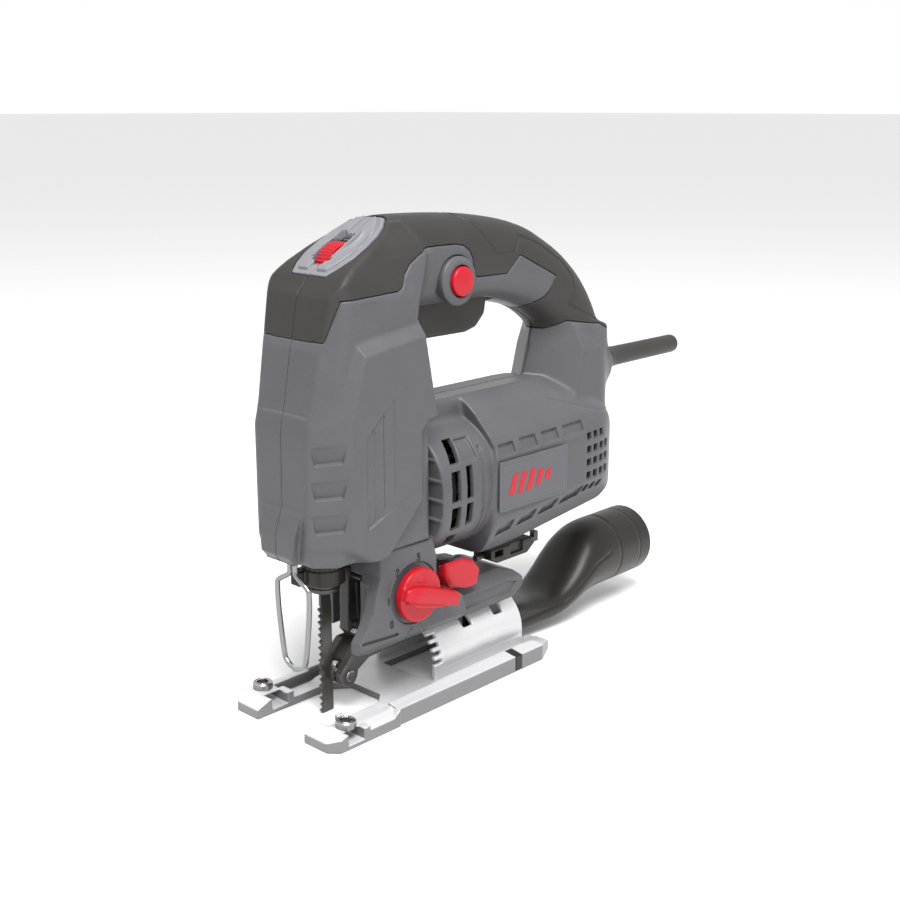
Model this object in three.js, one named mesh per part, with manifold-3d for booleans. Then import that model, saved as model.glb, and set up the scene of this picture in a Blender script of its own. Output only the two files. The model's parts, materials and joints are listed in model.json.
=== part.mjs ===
// Pendulum jigsaw: a hand-held saw with a bow handle, a tilting sole plate and a dust tube.
// Millimetres. +X is the cutting direction, +Y the tool's left side, +Z up.
// The origin lies on the sole, on the centre line, under the cross web of the sole plate.
import * as THREE from 'three';
import { mergeVertices } from 'three/addons/utils/BufferGeometryUtils.js';
import Module from 'manifold-3d';

const wasm = await Module();
wasm.setup();

// ---------------------------------------------------------------- driving dimensions
const FIT = 0.3; // gap kept between touching pieces
const ROUND = 20; // facets on a round piece

// sole plate and saddle
const SOLE_HALF = 35; // half width over the front blocks
const RAIL_OUT = 34; // outer face of the rails
const RAIL_IN = 26; // inner face of the rails
const SLOT_HALF = 15.7; // half width of the blade slot between the prongs
const SOLE_FRONT = 64;
const SOLE_REAR = -86;
const SOLE_T = 4; // plate thickness
const RAIL_TOP = 9;
const BLOCK_TOP = 7.3; // fence blocks at the front
const BLOCK_REAR = 24.8;
const FENCE_X = [46.5, 55.5]; // channel for the arm of a parallel fence
const FENCE_Z = [2.2, 6.6];
const FENCE_SCREW = [51, 28];
const TILT_Z = 12; // height of the bevel axis
const SADDLE_R = 20;
const SADDLE_T = 2.4;
const SADDLE_X = [-74, -12];
const CLAMP_X = -38; // bevel clamp bolt

// body
const NOSE_HALF = 30;
const NOSE_FLOOR = 77;
const FACET_HALF = 16.5; // half width of the front face of the nose
const FACET_X = 59.5;
const CORNER_X = 46; // where the 45 degree corner meets the side
const HANDLE_HALF = 17;
const GRIP_T = 2.4; // soft grip thickness
const WALL = 2.8;
const CORD_Z = 134;
const MOTOR_Z = 95;
const MOTOR_HALF = 34;

// drive
const GEAR_MODULE = 1.2;
const PINION_TEETH = 8;
const GEAR_TEETH = 40;
const GEAR_X = [8, 16];
const GEAR_Z = MOTOR_Z + (GEAR_MODULE * (PINION_TEETH + GEAR_TEETH)) / 2;
const STROKE = 18;
const BLADE_X = 37; // centre of the plunger and of the blade
const CRANK_Z = GEAR_Z + STROKE / 2;

// controls
const KNOB = { x: 5, z: 54, r: 12.5 };
const DIAL = { x: 23.3, z: 196.3, r: 12, half: 4.5 };
const LOCK = { x: -29, z: 188.6, r: 6.7 };
const TRIGGER_PIVOT = [-14, 180];
const TRIGGER_TURN = 7; // degrees
const LEVER_Z = [47.2, 50.4];

// ---------------------------------------------------------------- solids
function solid(geometry) {
  const bare = geometry.clone();
  bare.deleteAttribute('normal');
  bare.deleteAttribute('uv');
  const merged = mergeVertices(bare, 1e-4);
  const mesh = new wasm.Mesh({
    numProp: 3,
    vertProperties: new Float32Array(merged.attributes.position.array),
    triVerts: new Uint32Array(merged.index.array),
  });
  return new wasm.Manifold(mesh);
}

const join = (...parts) => parts.reduce((sum, part) => sum.add(part));
const cut = (whole, ...tools) => tools.reduce((rest, tool) => rest.subtract(tool), whole);

function box([x0, x1], [y0, y1], [z0, z1]) {
  const geometry = new THREE.BoxGeometry(x1 - x0, y1 - y0, z1 - z0);
  geometry.translate((x0 + x1) / 2, (y0 + y1) / 2, (z0 + z1) / 2);
  return solid(geometry);
}

// extrusions of an outline: prismX takes (y, z), prismY takes (x, z), prismZ takes (x, y)
function extrude(points, depth, bevel = 0) {
  const shape = new THREE.Shape(points.map(([a, b]) => new THREE.Vector2(a, b)));
  const options = { depth: depth - 2 * bevel, bevelEnabled: false };
  if (bevel > 0) {
    const edge = { bevelThickness: bevel, bevelSize: bevel, bevelOffset: -bevel, bevelSegments: 2 };
    Object.assign(options, edge, { bevelEnabled: true });
  }
  const geometry = new THREE.ExtrudeGeometry(shape, options);
  geometry.translate(0, 0, bevel);
  return geometry;
}

function prismX(points, x0, x1) {
  const geometry = extrude(points, x1 - x0);
  const turn = new THREE.Matrix4().makeBasis(
    new THREE.Vector3(0, 1, 0),
    new THREE.Vector3(0, 0, 1),
    new THREE.Vector3(1, 0, 0),
  );
  geometry.applyMatrix4(turn).translate(x0, 0, 0);
  return solid(geometry);
}

function prismY(points, y0, y1, bevel = 0) {
  const geometry = extrude(points, y1 - y0, bevel);
  geometry.rotateX(Math.PI / 2).translate(0, y1, 0);
  return solid(geometry);
}

function prismZ(points, z0, z1) {
  return solid(extrude(points, z1 - z0).translate(0, 0, z0));
}

// a cylinder along one axis, centred on the other two coordinates
function rod(axis, [a, b], from, to, r, sides = ROUND) {
  const geometry = new THREE.CylinderGeometry(r, r, to - from, sides);
  const mid = (from + to) / 2;
  if (axis === 'x') geometry.rotateZ(-Math.PI / 2).translate(mid, a, b);
  if (axis === 'y') geometry.translate(a, mid, b);
  if (axis === 'z') geometry.rotateX(Math.PI / 2).translate(a, b, mid);
  return solid(geometry);
}

const ring = (axis, centre, from, to, outer, inner, sides = ROUND) =>
  cut(rod(axis, centre, from, to, outer, sides), rod(axis, centre, from - 1, to + 1, inner, sides));

// a tube of round section along a list of points
function tube(points, r, sides, steps) {
  const path = new THREE.CatmullRomCurve3(points.map((p) => new THREE.Vector3(...p)), false, 'centripetal');
  const section = new THREE.Shape();
  section.absarc(0, 0, r, 0, Math.PI * 2, false);
  return solid(new THREE.ExtrudeGeometry(section, { steps, curveSegments: sides / 2, extrudePath: path }));
}

// the same outline moved inwards by d along its corner bisectors
function inset(points, d) {
  const area = points.reduce((sum, [x, y], i) => {
    const [u, v] = points[(i + 1) % points.length];
    return sum + x * v - u * y;
  }, 0);
  const side = Math.sign(area) * d;
  return points.map((p, i) => {
    const before = points[(i + points.length - 1) % points.length];
    const after = points[(i + 1) % points.length];
    const a = new THREE.Vector2(p[0] - before[0], p[1] - before[1]).normalize();
    const b = new THREE.Vector2(after[0] - p[0], after[1] - p[1]).normalize();
    const bisector = new THREE.Vector2(-a.y - b.y, a.x + b.x);
    const scale = (2 * side) / bisector.lengthSq();
    return [p[0] + bisector.x * scale, p[1] + bisector.y * scale];
  });
}

// the biggest body of a cut, without the slivers beside it
const largest = (part) => part.decompose().reduce((a, b) => (b.volume() > a.volume() ? b : a));
const mirrorY = (outline) => outline.map(([a, b]) => [-a, b]).reverse();
const bothSides = (half) => [...half, ...mirrorY(half)];
const turned = (part, angle, [x, z]) => part.translate([-x, 0, -z]).rotate([0, angle, 0]).translate([x, 0, z]);

// ---------------------------------------------------------------- node list
const model = new THREE.Group();

function node(name, part, color, roughness, metalness) {
  const { vertProperties, triVerts, numProp } = part.getMesh();
  const geometry = new THREE.BufferGeometry();
  const position = new Float32Array((vertProperties.length / numProp) * 3);
  for (let i = 0; i < position.length / 3; i += 1) {
    for (let k = 0; k < 3; k += 1) position[3 * i + k] = vertProperties[numProp * i + k];
  }
  geometry.setAttribute('position', new THREE.BufferAttribute(position, 3));
  geometry.setIndex(new THREE.BufferAttribute(new Uint32Array(triVerts), 1));
  geometry.computeVertexNormals();
  const mesh = new THREE.Mesh(geometry, new THREE.MeshStandardMaterial({ color, roughness, metalness }));
  mesh.name = name;
  model.add(mesh);
}

const grey = (name, part) => node(name, part, 0x6b6c70, 0.5, 0);
const black = (name, part) => node(name, part, 0x35322f, 0.7, 0);
const red = (name, part) => node(name, part, 0xdc2432, 0.4, 0);
const steel = (name, part) => node(name, part, 0xb8babd, 0.3, 1);
const darkSteel = (name, part) => node(name, part, 0x44403d, 0.45, 1);
const alloy = (name, part) => node(name, part, 0xd4d5d8, 0.35, 1);
const copper = (name, part) => node(name, part, 0xb0693a, 0.35, 1);
const brass = (name, part) => node(name, part, 0xb99a4c, 0.4, 1);

// ---------------------------------------------------------------- sole plate group
function solePlate() {
  const outline = [
    [SOLE_FRONT, SLOT_HALF], [SOLE_FRONT, 29.9], [59.8, SOLE_HALF], [BLOCK_REAR, SOLE_HALF],
    [BLOCK_REAR, RAIL_OUT], [-73, RAIL_OUT], [SOLE_REAR, 27],
  ];
  const plan = [...outline, ...outline.map(([x, y]) => [x, -y]).reverse()];
  const slot = [[70, -SLOT_HALF], [70, SLOT_HALF], [20.6, SLOT_HALF], [13.5, 9.7], [13.5, -9.7], [20.6, -SLOT_HALF]];
  const under = [[-11, -16], [-11, 16], [-100, 16], [-100, -16]];
  const blockTop = [
    [SOLE_FRONT, 0], [SOLE_FRONT, 4.5], [54, BLOCK_TOP], [BLOCK_REAR, BLOCK_TOP], [BLOCK_REAR, 0],
  ];
  let plate = prismZ(plan, 0, SOLE_T);
  for (const side of [1, -1]) {
    const block = prismY(blockTop, side > 0 ? SLOT_HALF : -SOLE_HALF, side > 0 ? SOLE_HALF : -SLOT_HALF);
    const rail = box([-81, BLOCK_REAR + 1], side > 0 ? [RAIL_IN, RAIL_OUT] : [-RAIL_OUT, -RAIL_IN], [0, RAIL_TOP]);
    plate = join(plate, block, rail);
  }
  plate = plate.intersect(prismZ(plan, -1, 20));
  plate = cut(plate, prismZ(slot, -1, 20), prismZ(under, -1, 20));
  for (const side of [1, -1]) {
    plate = cut(plate, rod('z', [FENCE_SCREW[0], side * FENCE_SCREW[1]], 5, 10, 3, 16));
  }
  return cut(plate, box(FENCE_X, [-40, 40], FENCE_Z));
}

function fenceScrew(side) {
  const centre = [FENCE_SCREW[0], side * FENCE_SCREW[1]];
  const head = rod('z', centre, BLOCK_TOP + FIT, 10.6, 4.6, 20);
  const shank = rod('z', centre, FENCE_Z[1] + 0.5, BLOCK_TOP + 1, 2.6, 16);
  return cut(join(head, shank), rod('z', centre, 8.4, 12, 2.3, 6));
}

function saddle() {
  const [rear, front] = SADDLE_X;
  const foot = SOLE_T + FIT;
  const outer = join(
    rod('x', [0, TILT_Z], rear, front, SADDLE_R, 32),
    box([rear, front], [-SADDLE_R, SADDLE_R], [foot, TILT_Z]),
  );
  const inner = SADDLE_R - SADDLE_T;
  const tunnel = join(
    rod('x', [0, TILT_Z], rear - 1, front + 1, inner, 32),
    box([rear - 1, front + 1], [-inner, inner], [foot - 1, TILT_Z]),
  );
  let shell = cut(outer, tunnel, box([rear - 1, front + 1], [-30, 30], [-20, foot]));
  // arc slots that let the clamp bolt and the guide pin swing 45 degrees each way
  for (const x of [CLAMP_X, -60]) {
    shell = cut(shell, prismX([[0, TILT_Z], [22, TILT_Z + 12], [0, 45], [-22, TILT_Z + 12]], x - 3.7, x + 3.7));
  }
  // bevel index notches on the front edge
  for (const side of [1, -1]) {
    for (const z of [10, 15, 20]) {
      shell = cut(shell, box([front - 3, front + 1], side > 0 ? [11, 25] : [-25, -11], [z, z + 2.2]));
    }
  }
  return shell;
}

const DUST_ROUTE = [[-153, 0, 28.6], [-142, 0, 27.6], [-131, 0, 23], [-120, 0, 16], [-106, 0, 12]];
function dustTube() {
  const collar = rod('x', [0, 28.6], -185, -150, 18.6);
  const bend = tube(DUST_ROUTE, 15.4, 16, 8).intersect(box([-160, -100], [-20, 20], [3, 60]));
  const neck = box([-110, -64], [-12, 12], [3.4, 15]);
  const outer = join(collar, bend, neck);
  const bore = join(
    rod('x', [0, 28.6], -186, -157, 16, 16),
    tube([[-159, 0, 28.6], ...DUST_ROUTE.slice(1)], 9.8, 12, 8).intersect(box([-170, -100], [-20, 20], [5.4, 60])),
    box([-113, -63], [-9.8, 9.8], [5.4, 13]),
  );
  return cut(outer, bore);
}

// ---------------------------------------------------------------- body outlines
const GUARD_X = 54.5;
const NOSE_SIDE = [
  [-2, 217], [7.1, 216.9], [13.3, 212.8], [40.1, 197.2], [47.7, 188.2], [52.3, 166.8],
  [57.1, 140.3], [58.7, 101.7], [63.2, 90.5], [63.3, 80.9], [60, NOSE_FLOOR], [-4, NOSE_FLOOR],
  [-4, 135], [3, 168],
];
const NOSE_FRONT = bothSides([
  [NOSE_HALF, 70], [NOSE_HALF, 165], [24, 190], [19, 206], [11, 219],
]);
const NOSE_PLAN = [
  [64, -8], [64, 8], [FACET_X, FACET_HALF], [CORNER_X, NOSE_HALF], [-6, NOSE_HALF],
  [-6, -NOSE_HALF], [CORNER_X, -NOSE_HALF], [FACET_X, -FACET_HALF],
];
const HANDLE_OUT = [
  [7, 216.5], [-5.6, 218.4], [-49.6, 215.9], [-71.2, 212.6], [-86.6, 208.2], [-97.5, 203.4], [-108, 197.6],
  [-117.5, 190.8], [-126, 183], [-133.5, 173.8], [-139.2, 164.8], [-144.5, 155], [-151, 146], [-159.9, 139],
  [-160, 127], [-148, 117], [-100, 116], [-97, 132], [-101, 137], [-107, 146], [-106, 153], [-98, 160.5],
  [-90, 165.5], [-80, 171], [-68, 175], [-54, 177], [7, 177],
];
const MOTOR_SECTION = bothSides([
  [10, 56], [26, 64.5], [MOTOR_HALF, 80], [MOTOR_HALF, 107], [26, 126], [10, 136],
]);
const MOTOR_SIDE = [
  [-3, 56], [-70, 57.5], [-120, 61], [-138, 64], [-150, 70], [-155.5, 80], [-155.5, 96], [-148, 107], [-132, 120],
  [-108, 132], [-95, 136], [-3, 136],
];
const MOTOR_PLAN = [
  [-3, 36], [-3, -36], [-112, -36], [-140, -22], [-156, -8], [-156, 8], [-140, 22], [-112, 36],
];

const noseSolid = (d) =>
  prismY(inset(NOSE_SIDE, d), -NOSE_HALF - 1, NOSE_HALF + 1)
    .intersect(prismX(inset(NOSE_FRONT, d), -20, 80))
    .intersect(prismZ(inset(NOSE_PLAN, d), 60, 230));
const handleSolid = (d) => prismY(inset(HANDLE_OUT, d), d - HANDLE_HALF, HANDLE_HALF - d, 6);
const motorSolid = (d) =>
  prismX(inset(MOTOR_SECTION, d), -180, 0)
    .intersect(prismY(inset(MOTOR_SIDE, d), -40, 40))
    .intersect(prismZ(inset(MOTOR_PLAN, d), 40, 150));

// the soft grip covers the top and the back of the handle and a band around the nose
const GRIP_REGION = [
  [70, 166], [70, 187], [45, 187], [16, 190], [13, 197], [5, 204], [-2, 225], [-180, 225], [-180, 151.5],
  [-131, 157], [-111, 160], [-103, 162], [-92, 167], [-97, 176], [-98, 184], [-72, 196], [-63, 189], [-41, 189],
  [-38, 201], [-32, 204], [-12, 204], [6, 194], [8, 188], [1, 167],
];

// housing screws as x, z and the depth of the head's outer face from the centre plane
const SCREWS = [[51, 118.4, 20.5], [10, 168, 26.5], [-82, 188, 15], [-128, 160, 13.5], [-112, 118, 22], [-112, 73, 24]];

function stateOfTrigger(angle, margin) {
  const outline = [
    [-9, 181], [-11.5, 166], [-16, 162.5], [-45, 162.5], [-52, 164], [-58, 170], [-60, 181],
  ];
  const blade = prismY(inset(outline, -margin), -8.5 - margin, 8.5 + margin);
  return turned(blade, angle, TRIGGER_PIVOT);
}

function housing() {
  const outer = join(noseSolid(0), handleSolid(0), motorSolid(0));
  const skin = GRIP_T + FIT;
  const core = join(noseSolid(skin), handleSolid(skin), motorSolid(0));
  const region = prismY(GRIP_REGION, -60, 60);
  const hard = cut(outer, cut(region, core));
  const patch = prismY(inset(GRIP_REGION, FIT), -60, 60);
  const soft = cut(patch.intersect(outer), join(noseSolid(GRIP_T), handleSolid(GRIP_T), motorSolid(0)));

  const depth = skin + WALL;
  const lowNose = noseSolid(WALL).intersect(box([-20, 80], [-40, 40], [70, 163]));
  const hollow = join(
    lowNose, noseSolid(depth), prismY(inset(HANDLE_OUT, depth + 1), -11.5, 11.5), motorSolid(WALL),
    box([-12, 6], [-24, 24], [82, 118]), box([-138, -120], [-12, 12], [110, 135]),
    box([-20, 6], [-12, 12], [181, 205]),
  );
  let cavity = cut(hollow, statorSeat(-50), statorSeat(-78));
  for (const [x, z] of SCREWS) cavity = cut(cavity, rod('y', [x, z], -40, 40, 4.6, 10));

  let tools = join(
    rod('z', [BLADE_X, 0], 70, 90, 12.2, 20), // opening for the blade clamp
    rod('x', [0, CORD_Z], -170, -146, 6.4, 16), // cord entry, with a seat for each flange of the sleeve
    rod('x', [0, CORD_Z], -170, -158.1, 8.4, 16),
    rod('x', [0, CORD_Z], -155.7, -146, 8.4, 16),
  );
  for (let step = 0; step <= 4; step += 1) {
    tools = join(tools, stateOfTrigger((TRIGGER_TURN * step) / 4, 0.5));
  }
  tools = join(tools, dialPocket(), rod('y', [LOCK.x, LOCK.z], 0, 30, LOCK.r + 0.4), labelPocket());
  tools = join(tools, airSlots(1), airSlots(-1), rearVents(1), rearVents(-1), chinPocket(FIT));
  tools = join(tools, rod('y', [LOCK.x, LOCK.z], 16.2, 30, 11.3));
  for (const [x, z, y] of SCREWS) {
    tools = join(tools, rod('y', [x, z], -y - 15, -y + 3, 3.6, 14), rod('y', [x, z], -y, -1.5, 1.7, 10));
  }
  return { hard: cut(hard, cavity, tools), soft: cut(soft, tools) };
}

// two ribs that hold the field stator inside the motor barrel
const statorSeat = (x) => cut(box([x, x + 4], [-40, 40], [50, 140]), rod('x', [0, MOTOR_Z], x - 1, x + 5, 27 + FIT));

function airSlots(side) {
  let slots = null;
  for (let row = 0; row < 5; row += 1) {
    const z = 76 + row * 9;
    const slot = box([-31, -12], side > 0 ? [20, 40] : [-40, -20], [z, z + 5]);
    slots = slots ? join(slots, slot) : slot;
  }
  return slots;
}

function rearVents(side) {
  let slots = null;
  for (let row = 0; row < 4; row += 1) {
    const z = 80 + row * 7;
    const slot = box([-140, -112], side > 0 ? [12, 40] : [-40, -12], [z, z + 4]);
    slots = slots ? join(slots, slot) : slot;
  }
  return slots;
}

const labelPocket = () => box([-90, -40], [MOTOR_HALF - 1.2, 40], [82, 107]);
const labelPlate = () => box([-89.6, -40.4], [MOTOR_HALF - 1.2 + FIT, MOTOR_HALF - 0.2], [82.4, 106.6]);

// the bezel lies on the sloping top of the nose, around the speed dial
const BEZEL_SLOPE = [[47, 192.4], [40.1, 196.9], [13.3, 212.5], [4, 217.5], [3, 210], [11, 206.6], [44, 187.4]];
const dialPocket = () =>
  join(
    prismY(inset(BEZEL_SLOPE, -FIT), -11.3, 11.3),
    box([40, 50], [-11.3, 11.3], [193, 199]),
    rod('y', [DIAL.x, DIAL.z], -6, 6, DIAL.r + 0.8),
  );
const bezel = () =>
  cut(prismY(BEZEL_SLOPE, -11, 11), rod('y', [DIAL.x, DIAL.z], -5.2, 5.2, DIAL.r + 0.6));
const speedDial = () => rod('y', [DIAL.x, DIAL.z], -DIAL.half, DIAL.half, DIAL.r);

const chinPocket = (d) => box([45 - d, 61 + d], [-9 - d, 9 + d], [70, 80.2 + d]);
const chinInsert = () =>
  cut(
    box([45, 61], [-9, 9], [NOSE_FLOOR + 0.4, 80.2]),
    rod('z', [BLADE_X, 0], 70, 90, 12.2, 20),
    box([GUARD_X - 1.7, GUARD_X + 1.7], [-3.5, 3.5], [70, 79.5]), // seat of the wire guard
  );

function gearCase() {
  const side = [
    [24.4, 76.7], [25, 60], [29, 54], [38, 37], [38, 33.5], [30, 31], [-30, 31], [-28, 36], [-26, 45],
    [-17, 50], [-11, 60], [-6.5, 76.7],
  ];
  const foot = [[-10, 31], [-10, 46.5], [-64, 46.5], [-74, 41.5], [-74, 35.5], [-67, 31]];
  const section = bothSides([[20, 25], [20, 31], [24, 35], [24, 80]]);
  const wide = prismY(side, -24, 24).intersect(prismX(section, -40, 50));
  const [rear] = SADDLE_X;
  return cut(
    join(wide, prismY(foot, -20, 20)),
    rod('x', [0, TILT_Z], rear - 10, SADDLE_X[1] + 1.2, SADDLE_R + 0.5, 32),
    box([23.8, 60], [-13, 13], [20, 80]), // room for the blade clamp
    box([11, 60], [-5, 5], [20, 72]), // slot of the rocker
    box([-6, 60], [-9.5, 9.5], [20, 31.6]), // guide of the roller carrier
    rod('y', [KNOB.x, KNOB.z], -12, 30, 4.3, 16),
    rod('z', [CLAMP_X, 0], 20, 60, 3.3, 16),
    box([-34, -9], [-30, 30], [LEVER_Z[0] - 0.5, 80]).subtract(box([-9.5, 0], [-30, 30], [20, 90])),
    box([17, 60], [-30, -10.5], [20, 63]), // the right side is open in front of the knob shaft
    rod('y', [22, 62], -10, 10, 2.3, 12),
    motorSolid(-FIT),
  );
}

// ---------------------------------------------------------------- drive train
function toothed(teeth, x0, x1, centreZ, phase) {
  const pitch = (GEAR_MODULE * teeth) / 2;
  const tip = pitch + 0.8 * GEAR_MODULE;
  const root = pitch - 1.15 * GEAR_MODULE;
  const points = [];
  for (let i = 0; i < teeth; i += 1) {
    const middle = phase + (2 * Math.PI * i) / teeth;
    const half = Math.PI / teeth;
    for (const [share, r] of [[-0.78, root], [-0.26, tip], [0.26, tip], [0.78, root]]) {
      const a = middle + share * half * 0.82;
      points.push([r * Math.sin(a), centreZ + r * Math.cos(a)]);
    }
  }
  return prismX(points.reverse(), x0, x1);
}

const driveGear = () =>
  cut(
    join(toothed(GEAR_TEETH, ...GEAR_X, GEAR_Z, Math.PI / GEAR_TEETH), rod('x', [0, GEAR_Z], GEAR_X[0], 17, 9)),
    rod('x', [0, GEAR_Z], 0, 20, 4.1),
    rod('x', [0, CRANK_Z], 14, 30, 2.9, 16),
  );
const crankPin = () => rod('x', [0, CRANK_Z], 14 + FIT, 21.2, 2.6, 16);

function gearFrame() {
  const side = [
    [0, 80.2], [46, 80.2], [46, 87.2], [5, 87.2], [5, 140], [7.3, 151], [46, 151], [46, 160], [5.5, 160], [0, 136],
  ];
  return cut(
    prismY(side, -20, 20),
    box([7.2, 50], [11, 21], [70, 170]),
    box([7.2, 50], [-21, -11], [70, 170]),
    rod('z', [BLADE_X, 0], 70, 170, 8.3),
    rod('x', [0, MOTOR_Z], -2, 7.8, 5.5, 20),
    rod('x', [0, GEAR_Z], -2, 6, 4.1, 20),
    rod('y', SCREWS[0].slice(0, 2), -40, 40, 4.9, 10),
  );
}

const gearPost = () => rod('x', [0, GEAR_Z], -0.9, 19, 3.8, 20);
const bush = (z0, z1) => ring('z', [BLADE_X, 0], z0, z1, 8, 5.2);
const plunger = () => rod('z', [BLADE_X, 0], 76.2, 182, 5);

function yoke() {
  const plate = box([21.8, 25], [-15, 15], [CRANK_Z - 7, CRANK_Z + 7]);
  const arm = box([24, 44], [-8, 8], [CRANK_Z - 5, CRANK_Z + 5]);
  return cut(
    join(plate, arm),
    rod('z', [BLADE_X, 0], 100, 160, 5.25),
    box([20, 23.6], [-12.5, 12.5], [CRANK_Z - 3.1, CRANK_Z + 3.1]),
  );
}

const fanX = [-34, -20];
function fan() {
  let wheel = join(rod('x', [0, MOTOR_Z], -22, -20, 24), rod('x', [0, MOTOR_Z], ...fanX, 9, 16));
  for (let i = 0; i < 9; i += 1) {
    const vane = box([fanX[0], -21], [7, 24], [MOTOR_Z - 0.8, MOTOR_Z + 0.8]);
    const swung = vane.translate([0, 0, -MOTOR_Z]).rotate([i * 40, 0, 0]).translate([0, 0, MOTOR_Z]);
    wheel = join(wheel, swung);
  }
  return cut(wheel, rod('x', [0, MOTOR_Z], -40, 0, 4.3, 16));
}

const armatureShaft = () =>
  join(
    rod('x', [0, MOTOR_Z], -127, 7.5, 4, 20),
    toothed(PINION_TEETH, 7, GEAR_X[1], MOTOR_Z, 0),
  );
function armatureCore() {
  let core = join(rod('x', [0, MOTOR_Z], -82, -42, 17.6), rod('x', [0, MOTOR_Z], -88, -36.5, 13.5));
  for (let i = 0; i < 8; i += 1) {
    const groove = box([-90, -36], [15.4, 20], [MOTOR_Z - 0.9, MOTOR_Z + 0.9]);
    core = cut(core, groove.translate([0, 0, -MOTOR_Z]).rotate([i * 45, 0, 0]).translate([0, 0, MOTOR_Z]));
  }
  return cut(core, rod('x', [0, MOTOR_Z], -90, 0, 4.3, 20));
}
const commutator = () => ring('x', [0, MOTOR_Z], -109, -93, 10, 4.3, 24);
const bearing = (x0, x1, r) => ring('x', [0, MOTOR_Z], x0, x1, r, 4.3, 24);
const fieldStator = () =>
  cut(ring('x', [0, MOTOR_Z], -86, -40, 27, 18.3), box([-90, -36], [-6, 6], [MOTOR_Z + 19, MOTOR_Z + 24]));
const brushHolder = (side) =>
  box([-105, -97], side > 0 ? [10.4, 26] : [-26, -10.4], [MOTOR_Z - 4.5, MOTOR_Z + 4.5]);

// ---------------------------------------------------------------- blade end
function bladeClamp() {
  const barrel = rod('z', [BLADE_X, 0], 58, 75.9, 7, 20);
  return cut(barrel, box([BLADE_X - 4.2, BLADE_X + 4.2], [-0.95, 0.95], [50, 74]));
}
const clampCollar = () =>
  join(
    ring('z', [BLADE_X, 0], 62, 73, 9.8, 7.3),
    box([BLADE_X + 8.4, 50], [-7.5, -1], [62, 69]),
  );

function blade() {
  const teeth = [];
  for (let z = 2; z < 50; z += 3) teeth.push([BLADE_X + 2.6, z + 3], [BLADE_X + 4, z + 0.6]);
  const outline = [
    [BLADE_X - 3.5, 0.4], [BLADE_X + 2.6, 0.4], ...teeth.map(([x, z], i) => (i % 2 ? [x, z] : [x, z - 3])),
    [BLADE_X + 3, 51], [BLADE_X + 3, 72], [BLADE_X - 3, 72], [BLADE_X - 3.5, 54],
  ];
  return prismY(outline, -0.6, 0.6);
}

const ROLLER = [30, 17.5];
function rollerCarrier() {
  const side = [
    [34, 14.5], [35, 19], [31, 24], [24, 30.8], [-4, 30.8], [-4, 23.5], [18, 22.5], [25, 18.5], [27, 13.5], [31, 12.5],
  ];
  return cut(
    prismY(side, -8, 8),
    rod('y', ROLLER, -10, 10, 1.85, 14),
    box([12, 40], [-3.6, 3.6], [5, 35]),
  );
}
const rollerPin = () => rod('y', ROLLER, -8.6, 8.6, 1.6, 14);
const guideRoller = () =>
  cut(
    rod('y', ROLLER, -3.2, 3.2, 5.2, 24),
    ring('y', ROLLER, -1.1, 1.1, 8, 3.15, 24),
    rod('y', ROLLER, -5, 5, 1.85, 14),
  );
const rocker = () =>
  join(
    prismY([[19, 66], [25, 66], [25.5, 56], [26, 36], [23.5, 33], [19.5, 33], [18, 44], [18, 60]], -3, 3),
    rod('y', [22, 62], -9.5, 9.5, 2, 12),
  );

// ---------------------------------------------------------------- controls
function orbitalKnob() {
  const disc = rod('y', [KNOB.x, KNOB.z], 24.4, 28.6, KNOB.r, 32);
  const bar = [
    [-21.5, -2.6], [-19.5, -4.6], [-8, -6], [KNOB.r - 3, -4.6], [KNOB.r - 1, 0], [KNOB.r - 3, 4.6], [-8, 5],
    [-19.5, 3.2], [-21.5, 1.4],
  ];
  const handle = prismY(bar.map(([x, z]) => [x + KNOB.x, z + KNOB.z]), 28, 33.2);
  const lead = turned(handle, -16, [KNOB.x, KNOB.z]);
  return cut(join(disc, lead), rod('y', [KNOB.x, KNOB.z], 20, 30, 3.4, 16));
}
const orbitalCam = () =>
  cut(
    rod('y', [KNOB.x, KNOB.z], -11, 29, 3.1, 16),
    box([KNOB.x + 1.2, KNOB.x + 9], [-4.6, 4.6], [KNOB.z - 9, KNOB.z + 9]),
  );

function bevelLever() {
  const paddle = [
    [-13, 64], [-24, 64], [-33, 60], [-36.5, 55], [-34, LEVER_Z[0]], [-17, LEVER_Z[0]], [-13.5, 56],
  ];
  const arm = [
    [CLAMP_X - 6, -5], [CLAMP_X + 3, -7], [-22, 8], [-16, 21], [-33, 21], [CLAMP_X - 6, 5],
  ];
  return cut(
    join(prismY(paddle, 20.5, 26), prismZ(arm, ...LEVER_Z)),
    rod('z', [CLAMP_X, 0], 40, 55, 3.3, 16),
    motorSolid(-0.6),
  );
}
const bevelBolt = () =>
  join(
    rod('z', [CLAMP_X, 0], 27, LEVER_Z[1] + 0.6, 3, 16),
    rod('z', [CLAMP_X, 0], LEVER_Z[1] + 0.3, 54.4, 5.2, 6),
    rod('z', [CLAMP_X, 0], 25.5, 28.4, 5, 6),
  );

const lockButton = () =>
  join(rod('y', [LOCK.x, LOCK.z], 12, 20.6, LOCK.r), rod('y', [LOCK.x, LOCK.z], 20.5, 22, LOCK.r - 1.6));
const lockRing = () => ring('y', [LOCK.x, LOCK.z], 16.5, 19.6, 11, LOCK.r + 0.4);

// ---------------------------------------------------------------- trim
function wireGuard() {
  const x = GUARD_X;
  const left = [[x, -1.7, 79.2], [x, -1.8, 71], [x, -10, 64.5], [x, -9.6, 55], [x, -7.2, 33], [x, -4.2, 28]];
  const right = left.map(([a, b, c]) => [a, -b, c]).reverse();
  return tube([...left, [x, 0, 26.6], ...right], 1.25, 8, 36);
}

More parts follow.
